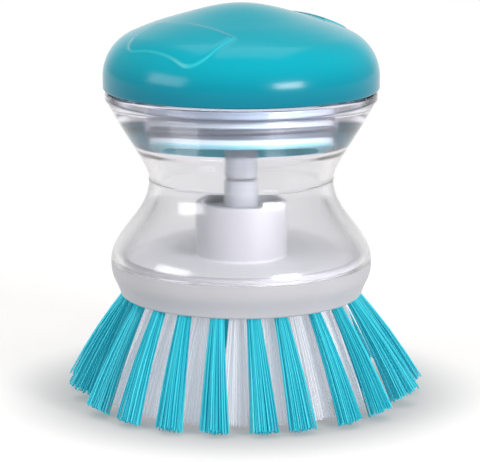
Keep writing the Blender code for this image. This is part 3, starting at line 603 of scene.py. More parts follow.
def flank_curve():
    """Outside of the reservoir from its foot to the neck."""
    lower_rise = WAIST - BODY_FOOT
    lower = bezier((PLATE_RADIUS, BODY_FOOT),
                   (PLATE_RADIUS, BODY_FOOT + lower_rise * FOOT_FULLNESS_SHARE),
                   (WAIST_RADIUS, WAIST - lower_rise * WAIST_LOWER_FULLNESS_SHARE),
                   (WAIST_RADIUS, WAIST), FLANK_STEPS)
    upper_rise = NECK - WAIST
    reach = upper_rise * NECK_FULLNESS_SHARE
    upper = bezier((WAIST_RADIUS, WAIST),
                   (WAIST_RADIUS, WAIST + upper_rise * WAIST_UPPER_FULLNESS_SHARE),
                   (NECK_RADIUS - reach * math.sin(NECK_LEAN), NECK - reach * math.cos(NECK_LEAN)),
                   (NECK_RADIUS, NECK), FLANK_STEPS)
    return lower + upper[1:]


def inset_curve(points, distance):
    """Moves an open curve sideways by a wall thickness, towards the axis."""
    moved = []
    for index, (r, z) in enumerate(points):
        before = points[max(index - 1, 0)]
        after = points[min(index + 1, len(points) - 1)]
        along = Vector((after[0] - before[0], after[1] - before[1])).normalized()
        moved.append((r - abs(along.y) * distance, z + along.x * distance))
    return moved


def rim_curve(neck_radius, neck):
    """The step above the neck and the rounded edge of the rim."""
    step = bezier((neck_radius, neck), (BODY_RADIUS, neck + RIM_STEP / 2),
                  (BODY_RADIUS, neck + RIM_STEP), (BODY_RADIUS, neck + 2 * RIM_STEP), SMALL_EDGE_STEPS)
    return step[1:] + arc((BODY_RADIUS - RIM_ROUND, BODY_TOP - RIM_ROUND), RIM_ROUND,
                          0, math.pi / 2, EDGE_STEPS)


def ledge_curve(r, z, lean):
    """From the mouth down to the top of the wall. Its handles reach a third of the way."""
    reach = (LEDGE_TOP - z) / 3
    return bezier((MOUTH_RADIUS, LEDGE_TOP), (MOUTH_RADIUS, LEDGE_TOP - reach),
                  (r + lean * reach, z + reach), (r, z), LEDGE_STEPS)


def reservoir_outline():
    outer = flank_curve()
    rim = rim_curve(*outer[-1])
    wall = [(r, max(z, BODY_FOOT)) for r, z in inset_curve(outer, BODY_WALL)]
    inner = [(r, z) for r, z in wall if z < LEDGE_FOOT and r < PLATE_RADIUS]
    (below_r, below_z), (top_r, top_z) = inner[-2:]
    ledge = ledge_curve(top_r, top_z, (top_r - below_r) / (top_z - below_z))
    crest = WAIST_RADIUS + SEAM_RISE
    outer[FLANK_STEPS:FLANK_STEPS + 1] = [
        (WAIST_RADIUS, WAIST - SEAM_WIDTH), (crest, WAIST - SEAM_WIDTH / 2),
        (crest, WAIST + SEAM_WIDTH / 2), (WAIST_RADIUS, WAIST + SEAM_WIDTH)]
    return outer + rim + [(MOUTH_RADIUS, BODY_TOP)] + ledge + list(reversed(inner[:-1]))


clear_plastic = clear_finish("clear_plastic", [
    (LEDGE_FOOT, CLEAR_TINT), (LEDGE_TOP, RIM_TINT), (NECK, RIM_TINT), (NECK + RIM_STEP, LILAC_TINT)],
    roughness=0.11, clearness=1.0)
make_piece("clear_reservoir", turned(reservoir_outline()), clear_plastic, "reservoir",
           ["body_shell"])

# %% [markdown]
# The cap screws into the mouth with a threaded collar of cloudy plastic, which also holds the rod's
# guide on three spokes. The thread could be swept along a curve, but a spin that climbs as it turns
# keeps its flanks clean. What shows dimly through the collar differs by height, so bands of it are
# painted into its tint: a painted teal reflection of the cap at its foot, and a band of painted
# shade higher up.

# %% Clear collar under the cap
SEAT_GAP = 0.0003
COLLAR_WALL = 0.0020
COLLAR_CHAMFER = 0.0004
COLLAR_FLANGE_THICKNESS = 0.0014
THREAD_DEPTH = 0.0009
THREAD_LEAD = 0.0030
THREAD_TURNS = 1.5
THREAD_STEPS_A_TURN = 96
THREAD_RISE = 0.001
RIDGE_SHARE = 0.3
CREST_SHARE = 0.3
RIDGE_SINK_SHARE = 0.1
GUIDE_RADIUS = 0.00515
GUIDE_DROP = 0.0022
GUIDE_HEIGHT = 0.0032
SMALL_ROUND_STEPS = 64
SPOKE_SIZE = (0.0014, 0.0154, 0.0022)
SPOKE_DEGREES = (60, 180, 300)
SPOKE_RISE = 0.0011
# painted reflection of the teal cap, at the foot of the collar
PAINTED_REFLECTION_TINT = colour(0.36, 0.72, 0.79)
PALE_TINT = colour(0.93, 0.94, 0.96)
# painted shade, a dark band higher up the collar
PAINTED_SHADE_TINT = colour(0.22, 0.24, 0.29)
COLLAR_PAINTED_BANDS = ((0.0, PAINTED_REFLECTION_TINT), (0.0007, PAINTED_REFLECTION_TINT), (0.0012, PALE_TINT), (0.0020, PALE_TINT),
                (0.0025, PAINTED_SHADE_TINT), (0.0050, PAINTED_SHADE_TINT), (0.0054, PALE_TINT))
COLLAR_RADIUS = MOUTH_RADIUS - THREAD_DEPTH - SEAT_GAP
COLLAR_BORE = COLLAR_RADIUS - COLLAR_WALL
FLANGE_FOOT = FLANGE_TOP - COLLAR_FLANGE_THICKNESS
GUIDE_BORE = ROD_RADIUS + SEAT_GAP
GUIDE_TOP = FLANGE_FOOT - GUIDE_DROP
GUIDE_FOOT = GUIDE_TOP - GUIDE_HEIGHT
SPOKE_MIDDLE = (0, -(GUIDE_RADIUS + COLLAR_BORE) / 2, GUIDE_TOP - 2 * SPOKE_RISE)


def thread_ridge(radius, foot):
    """A ridge with sloping flanks that climbs round a cylinder. Its root is sunk a little into it."""
    half = THREAD_LEAD * RIDGE_SHARE
    root = radius - THREAD_DEPTH * RIDGE_SINK_SHARE
    crest = radius + THREAD_DEPTH
    builder = bmesh.new()
    face = builder.faces.new([builder.verts.new(corner) for corner in (
        (root, 0, foot), (crest, 0, foot + half * (1 - CREST_SHARE)),
        (crest, 0, foot + half * (1 + CREST_SHARE)), (root, 0, foot + 2 * half))])
    steps = round(THREAD_TURNS * THREAD_STEPS_A_TURN)
    bmesh.ops.spin(builder, geom=[face], cent=(0, 0, 0), axis=(0, 0, 1), steps=steps,
                   dvec=(0, 0, THREAD_LEAD * THREAD_TURNS / steps), angle=math.tau * THREAD_TURNS)
    bmesh.ops.recalc_face_normals(builder, faces=builder.faces)
    return builder


def collar_shape():
    """Tube with its flange and thread, and the rod's guide on its spokes."""
    tube = [(COLLAR_BORE, COLLAR_FOOT), (COLLAR_RADIUS - COLLAR_CHAMFER, COLLAR_FOOT),
            (COLLAR_RADIUS, COLLAR_FOOT + COLLAR_CHAMFER), (COLLAR_RADIUS, FLANGE_FOOT),
            (FLANGE_RADIUS, FLANGE_FOOT), (FLANGE_RADIUS, FLANGE_TOP), (COLLAR_BORE, FLANGE_TOP)]
    guide = [(GUIDE_BORE, GUIDE_FOOT), (GUIDE_RADIUS, GUIDE_FOOT), (GUIDE_RADIUS, GUIDE_TOP),
             (GUIDE_BORE, GUIDE_TOP)]
    builder = joined(turned(tube), thread_ridge(COLLAR_RADIUS, COLLAR_FOOT + THREAD_RISE))
    builder = joined(builder, turned(guide, SMALL_ROUND_STEPS))
    for bearing in SPOKE_DEGREES:
        builder = joined(builder, block(SPOKE_SIZE, SPOKE_MIDDLE, bearing))
    return builder


collar_painted_bands = [(COLLAR_FOOT + rise, tint) for rise, tint in COLLAR_PAINTED_BANDS]
frosted_plastic = clear_finish("frosted_plastic", collar_painted_bands + [(FLANGE_FOOT, PALE_TINT)],
                               roughness=0.50, clearness=0.55)
make_piece("clear_collar", collar_shape(), frosted_plastic, "cap", ["cap_collar"])

# %% [markdown]
# The cap is a rigid dome with a soft skin moulded over it, which bends when the button goes down.
# Two stiff pieces would show a gap there, so the skin is one surface that blends between cap and
# button. Its dome is two arcs that meet smoothly, exact where a subdivided cage would only come
# near.

# %% Shape of the soft skin
CROWN_RADIUS = 0.062
CROWN_HEIGHT = 0.0189
SHOULDER_RADIUS = 0.011
BUTTON_BUMP = 0.0012
BUTTON_SWELL_RADIUS = 0.0175
SKIN_THICKNESS = 0.0015
SKIN_EDGE_ROUND = 0.0007
SKIN_SIDES = 320
CROWN_STEPS = 90
INSIDE_STEPS = 20
CROWN_CENTRE = CAP_EDGE + CROWN_HEIGHT - CROWN_RADIUS
SHOULDER_REACH = CAP_RADIUS - SHOULDER_RADIUS
SHOULDER_CENTRE = CROWN_CENTRE + math.sqrt((CROWN_RADIUS - SHOULDER_RADIUS) ** 2 - SHOULDER_REACH ** 2)


def dome_curve(inset, steps):
    """Curve of the dome from the axis to the widest point, at a depth under the surface."""
    meeting = math.atan2(SHOULDER_CENTRE - CROWN_CENTRE, SHOULDER_REACH)
    crown = arc((0, CROWN_CENTRE), CROWN_RADIUS - inset, math.pi / 2, meeting, steps)
    return crown + arc((SHOULDER_REACH, SHOULDER_CENTRE), SHOULDER_RADIUS - inset,
                       meeting, 0, steps // 2)[1:]


def dome_top(inset, steps):
    """The dome's curve with the swell of the button, begun exactly on the axis."""
    raised = []
    for r, z in dome_curve(inset, steps):
        share = min(r / BUTTON_SWELL_RADIUS, 1)
        raised.append((r, z + BUTTON_BUMP * (1 + math.cos(math.pi * share)) / 2))
    raised[0] = (0, raised[0][1])
    return raised


def skin_outline():
    edge = arc((CAP_RADIUS - SKIN_EDGE_ROUND, CAP_EDGE + SKIN_EDGE_ROUND), SKIN_EDGE_ROUND,
               0, -math.pi / 2, SMALL_EDGE_STEPS)
    inside = list(reversed(dome_top(SKIN_THICKNESS, INSIDE_STEPS)))
    return dome_top(0, CROWN_STEPS) + edge + [(CAP_RADIUS - SKIN_THICKNESS, CAP_EDGE)] + inside


print("points on the skin's outline:", len(skin_outline()))

# %% [markdown]
# A raised panel stands on the front and on the back of the cap. A Boolean could add it, but would
# break the even faces of the dome. So vertices inside a panel's edge are lifted, and each vertex
# keeps its distance to that edge, from which the finish paints a fine line: a painted highlight
# along the outer edges and painted shade along the edge on the crown's side.

# %% Raised panels
PANEL_DEGREES = (-45, 135)
PANEL_INNER = 0.0171
PANEL_OUTER = 0.0290
PANEL_SHIFT = 0.0022
PANEL_HALF = 0.0128
PANEL_CORNER = 0.0055
PANEL_STEP = 0.0014
PANEL_RISE = 0.00055
PANEL_LINE = 0.00022
PANEL_MARGIN = 0.0006
FAR_OUTSIDE = -0.01


def eased(value, start, end):
    """0 up to start, 1 from end on, and a smooth step between."""
    share = min(max((value - start) / (end - start), 0), 1)
    return share * share * (3 - 2 * share)


def panel_inset(x, y, bearing_degrees):
    """How far inside a panel's edge a point lies, and whether its crown side is nearest."""
    bearing = math.radians(bearing_degrees)
    outward = x * math.sin(bearing) - y * math.cos(bearing)
    across = x * math.cos(bearing) + y * math.sin(bearing) - PANEL_SHIFT
    from_side = PANEL_HALF - abs(across)
    from_rim = PANEL_OUTER - outward
    corner = math.hypot(max(PANEL_CORNER - from_side, 0), max(PANEL_CORNER - from_rim, 0))
    from_crown = outward - PANEL_INNER
    return min(from_crown, PANEL_CORNER - corner), from_crown < PANEL_CORNER - corner


def skin_shape():
    """The skin is turned, and then its outside is lifted where a panel stands."""
    builder = turned(skin_outline(), SKIN_SIDES, closed=False)
    insets = builder.verts.layers.float.new("panel")
    edge_shade_layer = builder.verts.layers.float.new("far_edge")
    for corner in builder.verts:
        depth, far = max(panel_inset(corner.co.x, corner.co.y, bearing) for bearing in PANEL_DEGREES)
        corner[insets] = max(depth, FAR_OUTSIDE)
        # marks the edge on the crown's side, which gets painted shade
        corner[edge_shade_layer] = float(far and abs(depth) < PANEL_MARGIN)
        if corner.normal.z > 0:
            corner.co.z += PANEL_RISE * eased(depth, -PANEL_STEP / 2, PANEL_STEP / 2)
    return builder


print("raised panels:", len(PANEL_DEGREES))

# %% [markdown]
# The skin is a satin rubber. One flat colour would look painted on, so its teal wanders a little.
# Painted shade deepens it down the skirt, where the cap turns away from the light, and a little on
# the crown. A fine grain softens the highlights.

# %% Soft skin of the cap
SKIN_TONE_SCALE = 40.0
SKIN_TONE_DETAIL = 3.0
SKIN_GRAIN_SCALE = 2600.0
SKIN_GRAIN_DEPTH = 0.00002
GRAIN_STRENGTH = 0.5
SKIN_SPECULAR = 0.21
SKIN_ROUGHNESS = 0.16
SKIN_ROUGHNESS_CHANGE = 0.06
PAINTED_SKIRT_SHADE = colour(0.0, 0.195, 0.28)
MIDDLE_COLOURS = (colour(0.0, 0.345, 0.435), colour(0.0, 0.375, 0.47))
PAINTED_CROWN_SHADE = colour(0.0, 0.33, 0.41)
PAINTED_HIGHLIGHT_LINE = colour(0.03, 0.50, 0.58)
PAINTED_SHADE_LINE = colour(0.0, 0.20, 0.27)
PAINTED_SKIRT_SHADE_FADE = (0.0, 0.011)
PAINTED_CROWN_SHADE_FADE = (0.010, 0.021)
PAINTED_EDGE_FALLOFF = (0.0, 1.5 * PANEL_LINE)


def skin_colour(finish, tone, inset, far_edge):
    """Teal that wanders, with painted shade down the skirt and on the crown, and a painted line along the
    edges of the panels.
    """
    height = height_on(finish)
    middle = blend(finish, tone, *MIDDLE_COLOURS)
    # painted shade: darker down the skirt, where the cap turns away from the light
    painted_low_shade = blend(finish, fade(finish, height, CAP_EDGE, PAINTED_SKIRT_SHADE_FADE), PAINTED_SKIRT_SHADE, middle)
    # painted shade: the crown is slightly darker
    crown = blend(finish, fade(finish, height, CAP_EDGE, PAINTED_CROWN_SHADE_FADE), painted_low_shade, PAINTED_CROWN_SHADE)
    # painted line along the panels' edges: painted highlight, and painted shade on the crown's side
    line = 1 - fade(finish, inset.most(0 - inset), 0.0, PAINTED_EDGE_FALLOFF)
    return blend(finish, line, crown, blend(finish, far_edge, PAINTED_HIGHLIGHT_LINE, PAINTED_SHADE_LINE))


def teal_skin_finish():
    finish = new_finish("teal_soft_skin")
    tone = noise(finish, SKIN_TONE_SCALE, SKIN_TONE_DETAIL)
    inset = finish.add("ShaderNodeAttribute", {"attribute_name": "panel"}).out("Fac")
    far_edge = finish.add("ShaderNodeAttribute", {"attribute_name": "far_edge"}).out("Fac")
    grain = bump(finish, noise(finish, SKIN_GRAIN_SCALE), SKIN_GRAIN_DEPTH, GRAIN_STRENGTH)
    step = soft_step(finish, inset, -PANEL_LINE, PANEL_LINE) * (1 - far_edge)
    return finish.surface(principled(
        finish, Base_Color=skin_colour(finish, tone, inset, far_edge),
        Roughness=SKIN_ROUGHNESS + SKIN_ROUGHNESS_CHANGE * tone, Specular_IOR_Level=SKIN_SPECULAR,
        Normal=bump(finish, step, PANEL_LINE, 1.0, grain)))


skin = make_piece("cap_soft_skin", skin_shape(), teal_skin_finish(), None,
                  ["cap_skin", "button_dome"])
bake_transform(skin)

# %% [markdown]
# Moulded plastic is never quite even: its tone wanders, and it has a fine grain. An image could
# carry both, but noise needs no unwrapping. Light is painted on the floor of the reservoir: it is
# paler than the rest of the plate, for the light that reaches it through the clear wall, and
# painted shade darkens its edge under the wall.

# %% Finish of moulded plastic
FLOOR_RISE = 0.0013
FLOOR = BODY_FOOT - SEAT_GAP + FLOOR_RISE
FLOOR_REACH = PLATE_RADIUS - BODY_WALL - SEAT_GAP
PAINTED_LIGHT_SIDE_FADE = (-0.0010, -0.0002)
PAINTED_LIGHT_TOWER_FADE = (0.00020, 0.00005)
PAINTED_EDGE_SHADE_FADE = (-0.0011, -0.0006)
PLASTIC_TONE_SCALE = 70.0
PLASTIC_GRAIN_SCALE = 3200.0
PLASTIC_GRAIN_DEPTH = 0.00001
PLASTIC_ROUGHNESS_CHANGE = 0.08


def with_painted_floor_light(finish, base, painted_floor_light, painted_edge_shade):
    """Paints light on the floor of the reservoir, up to painted shade at its edge under the wall."""
    height = height_on(finish)
    above = fade(finish, height, FLOOR, PAINTED_LIGHT_SIDE_FADE)
    below = fade(finish, height, FLOOR, PAINTED_LIGHT_TOWER_FADE)
    flat = finish.add("ShaderNodeVectorMath", {"operation": "MULTIPLY"}, {
        0: place_on(finish), 1: (1, 1, 0)}).out()
    reach = finish.add("ShaderNodeVectorMath", {"operation": "LENGTH"}, {0: flat}).out("Value")
    edge = fade(finish, reach, FLOOR_REACH, PAINTED_EDGE_SHADE_FADE)
    # painted light on the floor, and painted shade at its edge under the wall
    return blend(finish, above * below, base, blend(finish, edge, painted_floor_light, painted_edge_shade))


def plastic_finish(name, dark, light, roughness, painted_floor_light=None):
    """Moulded plastic: a slight change of tone, a fine even grain, and painted light on the reservoir's
    floor if given.
    """
    finish = new_finish(name)
    tone = noise(finish, PLASTIC_TONE_SCALE)
    base = blend(finish, tone, dark, light)
    if painted_floor_light is not None:
        base = with_painted_floor_light(finish, base, painted_floor_light, dark)
    grain = noise(finish, PLASTIC_GRAIN_SCALE)
    return finish.surface(principled(
        finish, Base_Color=base, Roughness=roughness + PLASTIC_ROUGHNESS_CHANGE * tone,
        Normal=bump(finish, grain, PLASTIC_GRAIN_DEPTH, GRAIN_STRENGTH)))


white_plastic = plastic_finish("white_plastic", colour(0.45, 0.445, 0.475), colour(0.50, 0.495, 0.525),
                               roughness=0.42, painted_floor_light=colour(0.84, 0.835, 0.86))
print("materials in the file:", len(bpy.data.materials))

# %% [markdown]
# The white plate is the floor of the reservoir. It carries the bristles below and the well tower
# for the valve above, all in one moulding, so one outline is turned in one go. Soap runs into the
# well through three inlets cut in the foot of the tower.

# %% White plate with its tower
PLATE_TAPER = 0.0021
PLATE_EDGE_ROUND = 0.0008
PLATE_SIDE_STEPS = 16
LEDGE_GAP = 0.00005
FLOOR_EDGE_ROUND = 0.0006
WELL_RADIUS = 0.0108
WELL_WALL = 0.0015
WELL_RIM_ROUND = 0.0005
OUTLET_RADIUS = 0.0046
OUTLET_MOUTH_DEPTH = 0.0028
OUTLET_FLARE = 0.0022
INLET_SIZE = (0.0040, 0.0034, 0.0030)
INLET_DEGREES = (90, 180, 270)
PLATE_LEDGE = BODY_FOOT - LEDGE_GAP
PLATE_FOOT_RADIUS = PLATE_RADIUS - PLATE_TAPER
WELL_BORE = WELL_RADIUS - WELL_WALL
INLET_CENTRE = (0, WELL_WALL / 2 - WELL_RADIUS, FLOOR + INLET_SIZE[2] / 2)


def plate_outline():
    middle = (PLATE_UNDERSIDE + PLATE_LEDGE) / 2
    outlet = [(OUTLET_RADIUS, FLOOR), (OUTLET_RADIUS, PLATE_UNDERSIDE + OUTLET_MOUTH_DEPTH),
              (OUTLET_RADIUS + OUTLET_FLARE, PLATE_UNDERSIDE)]
    foot = arc((PLATE_FOOT_RADIUS - PLATE_EDGE_ROUND, PLATE_UNDERSIDE + PLATE_EDGE_ROUND),
               PLATE_EDGE_ROUND, -math.pi / 2, 0, EDGE_STEPS)
    side = bezier(foot[-1], (PLATE_FOOT_RADIUS + PLATE_TAPER / 2, middle), (PLATE_RADIUS, middle),
                  (PLATE_RADIUS, PLATE_LEDGE), PLATE_SIDE_STEPS)
    floor_edge = [(FLOOR_REACH, PLATE_LEDGE)]
    floor_edge += arc((FLOOR_REACH - FLOOR_EDGE_ROUND, FLOOR - FLOOR_EDGE_ROUND), FLOOR_EDGE_ROUND,
                      0, math.pi / 2, EDGE_STEPS)
    tower = [(WELL_RADIUS, FLOOR)]
    tower += arc((WELL_RADIUS - WELL_RIM_ROUND, WELL_TOP - WELL_RIM_ROUND), WELL_RIM_ROUND,
                 0, math.pi / 2, SMALL_EDGE_STEPS)
    tower += arc((WELL_BORE + WELL_RIM_ROUND, WELL_TOP - WELL_RIM_ROUND), WELL_RIM_ROUND,
                 math.pi / 2, math.pi, SMALL_EDGE_STEPS)
    return outlet + foot + side[1:] + floor_edge + tower + [(WELL_BORE, FLOOR)]


inlets = [block(INLET_SIZE, INLET_CENTRE, bearing) for bearing in INLET_DEGREES]
make_piece("white_plate", carved(turned(plate_outline()), inlets), white_plastic, "reservoir",
           ["brush_plate"])

# %% [markdown]
# The frame of the cap is hard and teal. It shows only through the clear neck, where its plug tube
# stands in the collar's bore. A teal disc would do for that, but more of it shows when the cap
# rises, so the whole section is one outline. Three notches in the tube hold the guide's spokes.

# %% Cap frame
FRAME_THICKNESS = 0.0015
FRAME_STEPS = 48
TUBE_WALL = 0.0012
TUBE_LIFT = 0.0005
REST_RING_WIDTH = 0.0015
REST_RING_THICKNESS = 0.0012
SLEEVE_RADIUS = 0.0158
SLEEVE_WALL = 0.0013
SLEEVE_DEPTH = 0.0050
NOTCH_WIDTH = 0.0020
FRAME_INSET = SKIN_THICKNESS + SEAT_GAP
FRAME_INNER_INSET = FRAME_INSET + FRAME_THICKNESS
FRAME_SIDE = CAP_RADIUS - FRAME_INNER_INSET
TUBE_RADIUS = COLLAR_BORE - SEAT_GAP
TUBE_BORE = TUBE_RADIUS - TUBE_WALL
TUBE_FOOT = COLLAR_FOOT + TUBE_LIFT
NOTCH_TOP = GUIDE_TOP - SPOKE_RISE + SEAT_GAP
NOTCH_FOOT = TUBE_FOOT - SEAT_GAP
NOTCH_SIZE = (NOTCH_WIDTH, 2 * TUBE_WALL, NOTCH_TOP - NOTCH_FOOT)
NOTCH_CENTRE = (0, -(TUBE_RADIUS + TUBE_BORE) / 2, (NOTCH_TOP + NOTCH_FOOT) / 2)


def roof_point(radius, inset):
    """The point of the dome at a radius, at a depth under its surface."""
    return radius, CROWN_CENTRE + math.sqrt((CROWN_RADIUS - inset) ** 2 - radius ** 2)


def frame_outline():
    ring_foot = FLANGE_TOP + SEAT_GAP
    ring_top = ring_foot + REST_RING_THICKNESS
    hole = BUTTON_RADIUS + SEAT_GAP
    bore = SLEEVE_RADIUS - SLEEVE_WALL
    sleeve_top = roof_point(bore, FRAME_INNER_INSET)
    sleeve_foot = sleeve_top[1] - SLEEVE_DEPTH
    outer = [roof_point(hole, FRAME_INSET)]
    outer += [point for point in dome_curve(FRAME_INSET, FRAME_STEPS) if point[0] > hole]
    ring = [(CAP_RADIUS - FRAME_INSET, CAP_EDGE), (FRAME_SIDE, CAP_EDGE), (FRAME_SIDE, ring_foot),
            (FRAME_SIDE - REST_RING_WIDTH, ring_foot), (FRAME_SIDE - REST_RING_WIDTH, ring_top)]
    roof = [(r, z) for r, z in reversed(dome_curve(FRAME_INNER_INSET, FRAME_STEPS))
            if r > SLEEVE_RADIUS and z > ring_top]
    tube = [roof_point(TUBE_RADIUS, FRAME_INNER_INSET), (TUBE_RADIUS, TUBE_FOOT),
            (TUBE_BORE, TUBE_FOOT), roof_point(TUBE_BORE, FRAME_INNER_INSET)]
    sleeve = [roof_point(SLEEVE_RADIUS, FRAME_INNER_INSET), (SLEEVE_RADIUS, sleeve_foot),
              (bore, sleeve_foot), sleeve_top, roof_point(hole, FRAME_INNER_INSET)]
    beyond_tube = [point for point in roof if point[0] > TUBE_RADIUS]
    within_tube = [point for point in roof if point[0] < TUBE_BORE]
    return outer + ring + beyond_tube + tube + within_tube + sleeve


# The frame is teal, painted paler than the skin: painted light for its shaded place inside the neck.
teal_plastic = plastic_finish("teal_plastic", colour(0.08, 0.62, 0.74), colour(0.10, 0.68, 0.80),
                              roughness=0.35)
notches = [block(NOTCH_SIZE, NOTCH_CENTRE, bearing) for bearing in SPOKE_DEGREES]
make_piece("cap_frame_turned", carved(turned(frame_outline()), notches), teal_plastic, "cap",
           ["cap_frame"])

# %% [markdown]
# A press on the button goes down the rod to the plunger in the well. Soap has to pass the plunger,
# so its flange has four notches. Plain cylinders could stand in for both, but small slopes at their
# edges catch the light as moulded edges do.

# %% Push rod and plunger
PIN_SLOPE = 0.0003
PLUNGER_RADIUS = 0.0040
PLUNGER_FLANGE_DEPTH = 0.0014
PLUNGER_FLANGE_THICKNESS = 0.0014
PLUNGER_NOTCH = (0.0034, 0.0032, 0.0030)
PLUNGER_NOTCH_DEGREES = (45, 135, 225, 315)
STEM_RADIUS = 0.0017
STEM_TIP_RADIUS = 0.0012
STEM_TIP_REACH = 0.0006


def plunger_shape():
    top = WELL_TOP - PLUNGER_FLANGE_DEPTH
    foot = top - PLUNGER_FLANGE_THICKNESS
    outline = [(0, STEM_TIP), (STEM_TIP_RADIUS, STEM_TIP), (STEM_RADIUS, STEM_TIP + STEM_TIP_REACH),
               (STEM_RADIUS, foot), (PLUNGER_FLANGE_RADIUS, foot), (PLUNGER_FLANGE_RADIUS, top),
               (PLUNGER_RADIUS, top), (PLUNGER_RADIUS, PLUNGER_TOP - PIN_SLOPE),
               (PLUNGER_RADIUS - PIN_SLOPE, PLUNGER_TOP), (0, PLUNGER_TOP)]
    centre = (0, -PLUNGER_FLANGE_RADIUS, (top + foot) / 2)
    return carved(turned(outline, SMALL_ROUND_STEPS),
                  [block(PLUNGER_NOTCH, centre, bearing) for bearing in PLUNGER_NOTCH_DEGREES])


smoke_plastic = plastic_finish("smoke_plastic", colour(0.42, 0.43, 0.47), colour(0.50, 0.51, 0.55),
                               roughness=0.22)
rod_outline = [(0, ROD_FOOT), (ROD_RADIUS - PIN_SLOPE, ROD_FOOT), (ROD_RADIUS, ROD_FOOT + PIN_SLOPE),
               (ROD_RADIUS, ROD_TOP), (0, ROD_TOP)]
make_piece("push_rod_turned", turned(rod_outline, SMALL_ROUND_STEPS), smoke_plastic, "button",
           ["push_rod"])
make_piece("plunger_turned", plunger_shape(), smoke_plastic, "valve",
           ["valve_plunger"])

# %% [markdown]
# Seals, washer, poppet, clip and the button's plate sit deep inside. They could get new surfaces
# too, but hardly any of it would be seen, and their solids are clean and round. So they only get a
# finish: silicone, rubber, white plastic, or steel with a slightly uneven shine.

# %% Finishes of the solids that stay
STAIN_SCALE = 500.0
STAIN_DEPTH = 0.00001
STEEL_ROUGHNESS = 0.22
STEEL_ROUGHNESS_CHANGE = 0.15


def refinish(node, material):
    """Gives a solid of the frame a finish in every slot that it has."""
    solid = bpy.data.objects[node]
    if not solid.material_slots:
        solid.data.materials.append(material)
    for place in solid.material_slots:
        place.material = material


def steel_finish():
    finish = new_finish("spring_steel")
    stain = noise(finish, STAIN_SCALE)
    tone = blend(finish, stain, colour(0.50, 0.50, 0.51), colour(0.60, 0.60, 0.61))
    return finish.surface(principled(
        finish, Base_Color=tone, Metallic=1.0, Roughness=STEEL_ROUGHNESS + STEEL_ROUGHNESS_CHANGE * stain,
        Normal=bump(finish, stain, STAIN_DEPTH, GRAIN_STRENGTH)))


# The gasket's teal is painted pale as well: painted light for its shaded place under the cap.
teal_rubber = plastic_finish("teal_rubber", colour(0.12, 0.66, 0.78), colour(0.16, 0.72, 0.84),
                             roughness=0.55)
silicone = plastic_finish("silicone", colour(0.60, 0.62, 0.63), colour(0.66, 0.68, 0.69),
                          roughness=0.50)
spring_steel = steel_finish()
staying = {"plate_seal": silicone, "outlet_seat": silicone, "valve_poppet": silicone,
           "cap_gasket": teal_rubber, "spring_washer": spring_steel, "poppet_clip": spring_steel,
           "button_plate": white_plastic}
for node, material in staying.items():
    refinish(node, material)
print("solids that stay:", len(staying))

# %% [markdown]
# Bristles are bundles of drawn nylon, punched in folded, so a tuft starts close together and fans
# out to the cut. Particle hair could grow them, but here each filament needs a place of its own. So
# a curve with a small bevel makes them, one spline each. Each keeps its own number, for its own
# tone.

# %% Filaments
FILAMENT_POINTS = 5
FILAMENT_THICKNESS = 0.00036
WIDTH_SPLAY = 2.3
DEPTH_SPLAY = 1.5
SPLAY_VARIATION = 0.10
ROOT_SINK = 0.0006
ROOT_HALF_WIDTH = 0.0015
ROOT_HALF_DEPTH = 0.0013
BOW = 0.0005
LEAST_BOW = 0.6
BOW_VARIATION = 0.8
CUT_VARIATION = 0.0006
CUT_MIDDLE = 0.8
GOLDEN_ANGLE = math.pi * (3 - math.sqrt(5))
GOLDEN_SHARE = 0.618034
TIP_CLEARANCE = 0.00005


def filament_points(root, tip, outward, random_source):
    """A nearly straight line that bows a little away from the axis."""
    bow = BOW * (LEAST_BOW + BOW_VARIATION * random_source.random())
    points = []
    for step in range(FILAMENT_POINTS):
        along = step / (FILAMENT_POINTS - 1)
        points.append(root.lerp(tip, along) + outward * (bow * math.sin(math.pi * along)))
    return points


def tuft_lines(bearing, twist, radius, lean, filaments, random_source, depth_splay):
    """Centre lines of the filaments of one tuft. Its tips are turned round the brush by the twist."""
    level = Vector((math.sin(bearing), -math.cos(bearing), 0))
    across = Vector((math.cos(bearing), math.sin(bearing), 0))
    outward = level * math.cos(lean) + Vector((0, 0, math.sin(lean)))
    down = level * math.sin(lean) - Vector((0, 0, math.cos(lean)))
    root_centre = level * radius + Vector((0, 0, PLATE_UNDERSIDE + ROOT_SINK))
    tip_lift = depth_splay * ROOT_HALF_DEPTH * math.sin(lean)
    length = (root_centre.z - tip_lift) / math.cos(lean)
    tip_centre = Matrix.Rotation(twist, 3, "Z") @ (root_centre + down * length)
    lines = []
    for index in range(filaments):
        angle = index * GOLDEN_ANGLE + bearing
        reach = math.sqrt((index + 0.5) / filaments)
        side = math.cos(angle) * reach * ROOT_HALF_WIDTH
        depth = math.sin(angle) * reach * ROOT_HALF_DEPTH
        root = root_centre + across * side + level * depth
        spread = 1 + SPLAY_VARIATION * (random_source.random() - 0.5)
        tip = tip_centre + across * (side * WIDTH_SPLAY * spread)
        tip += outward * (depth * depth_splay * spread)
        tip += down * (CUT_VARIATION * (random_source.random() - CUT_MIDDLE))
        if tip.z < TIP_CLEARANCE:
            tip += down * ((tip.z - TIP_CLEARANCE) / math.cos(lean))
        lines.append(filament_points(root, tip, outward, random_source))
    return lines


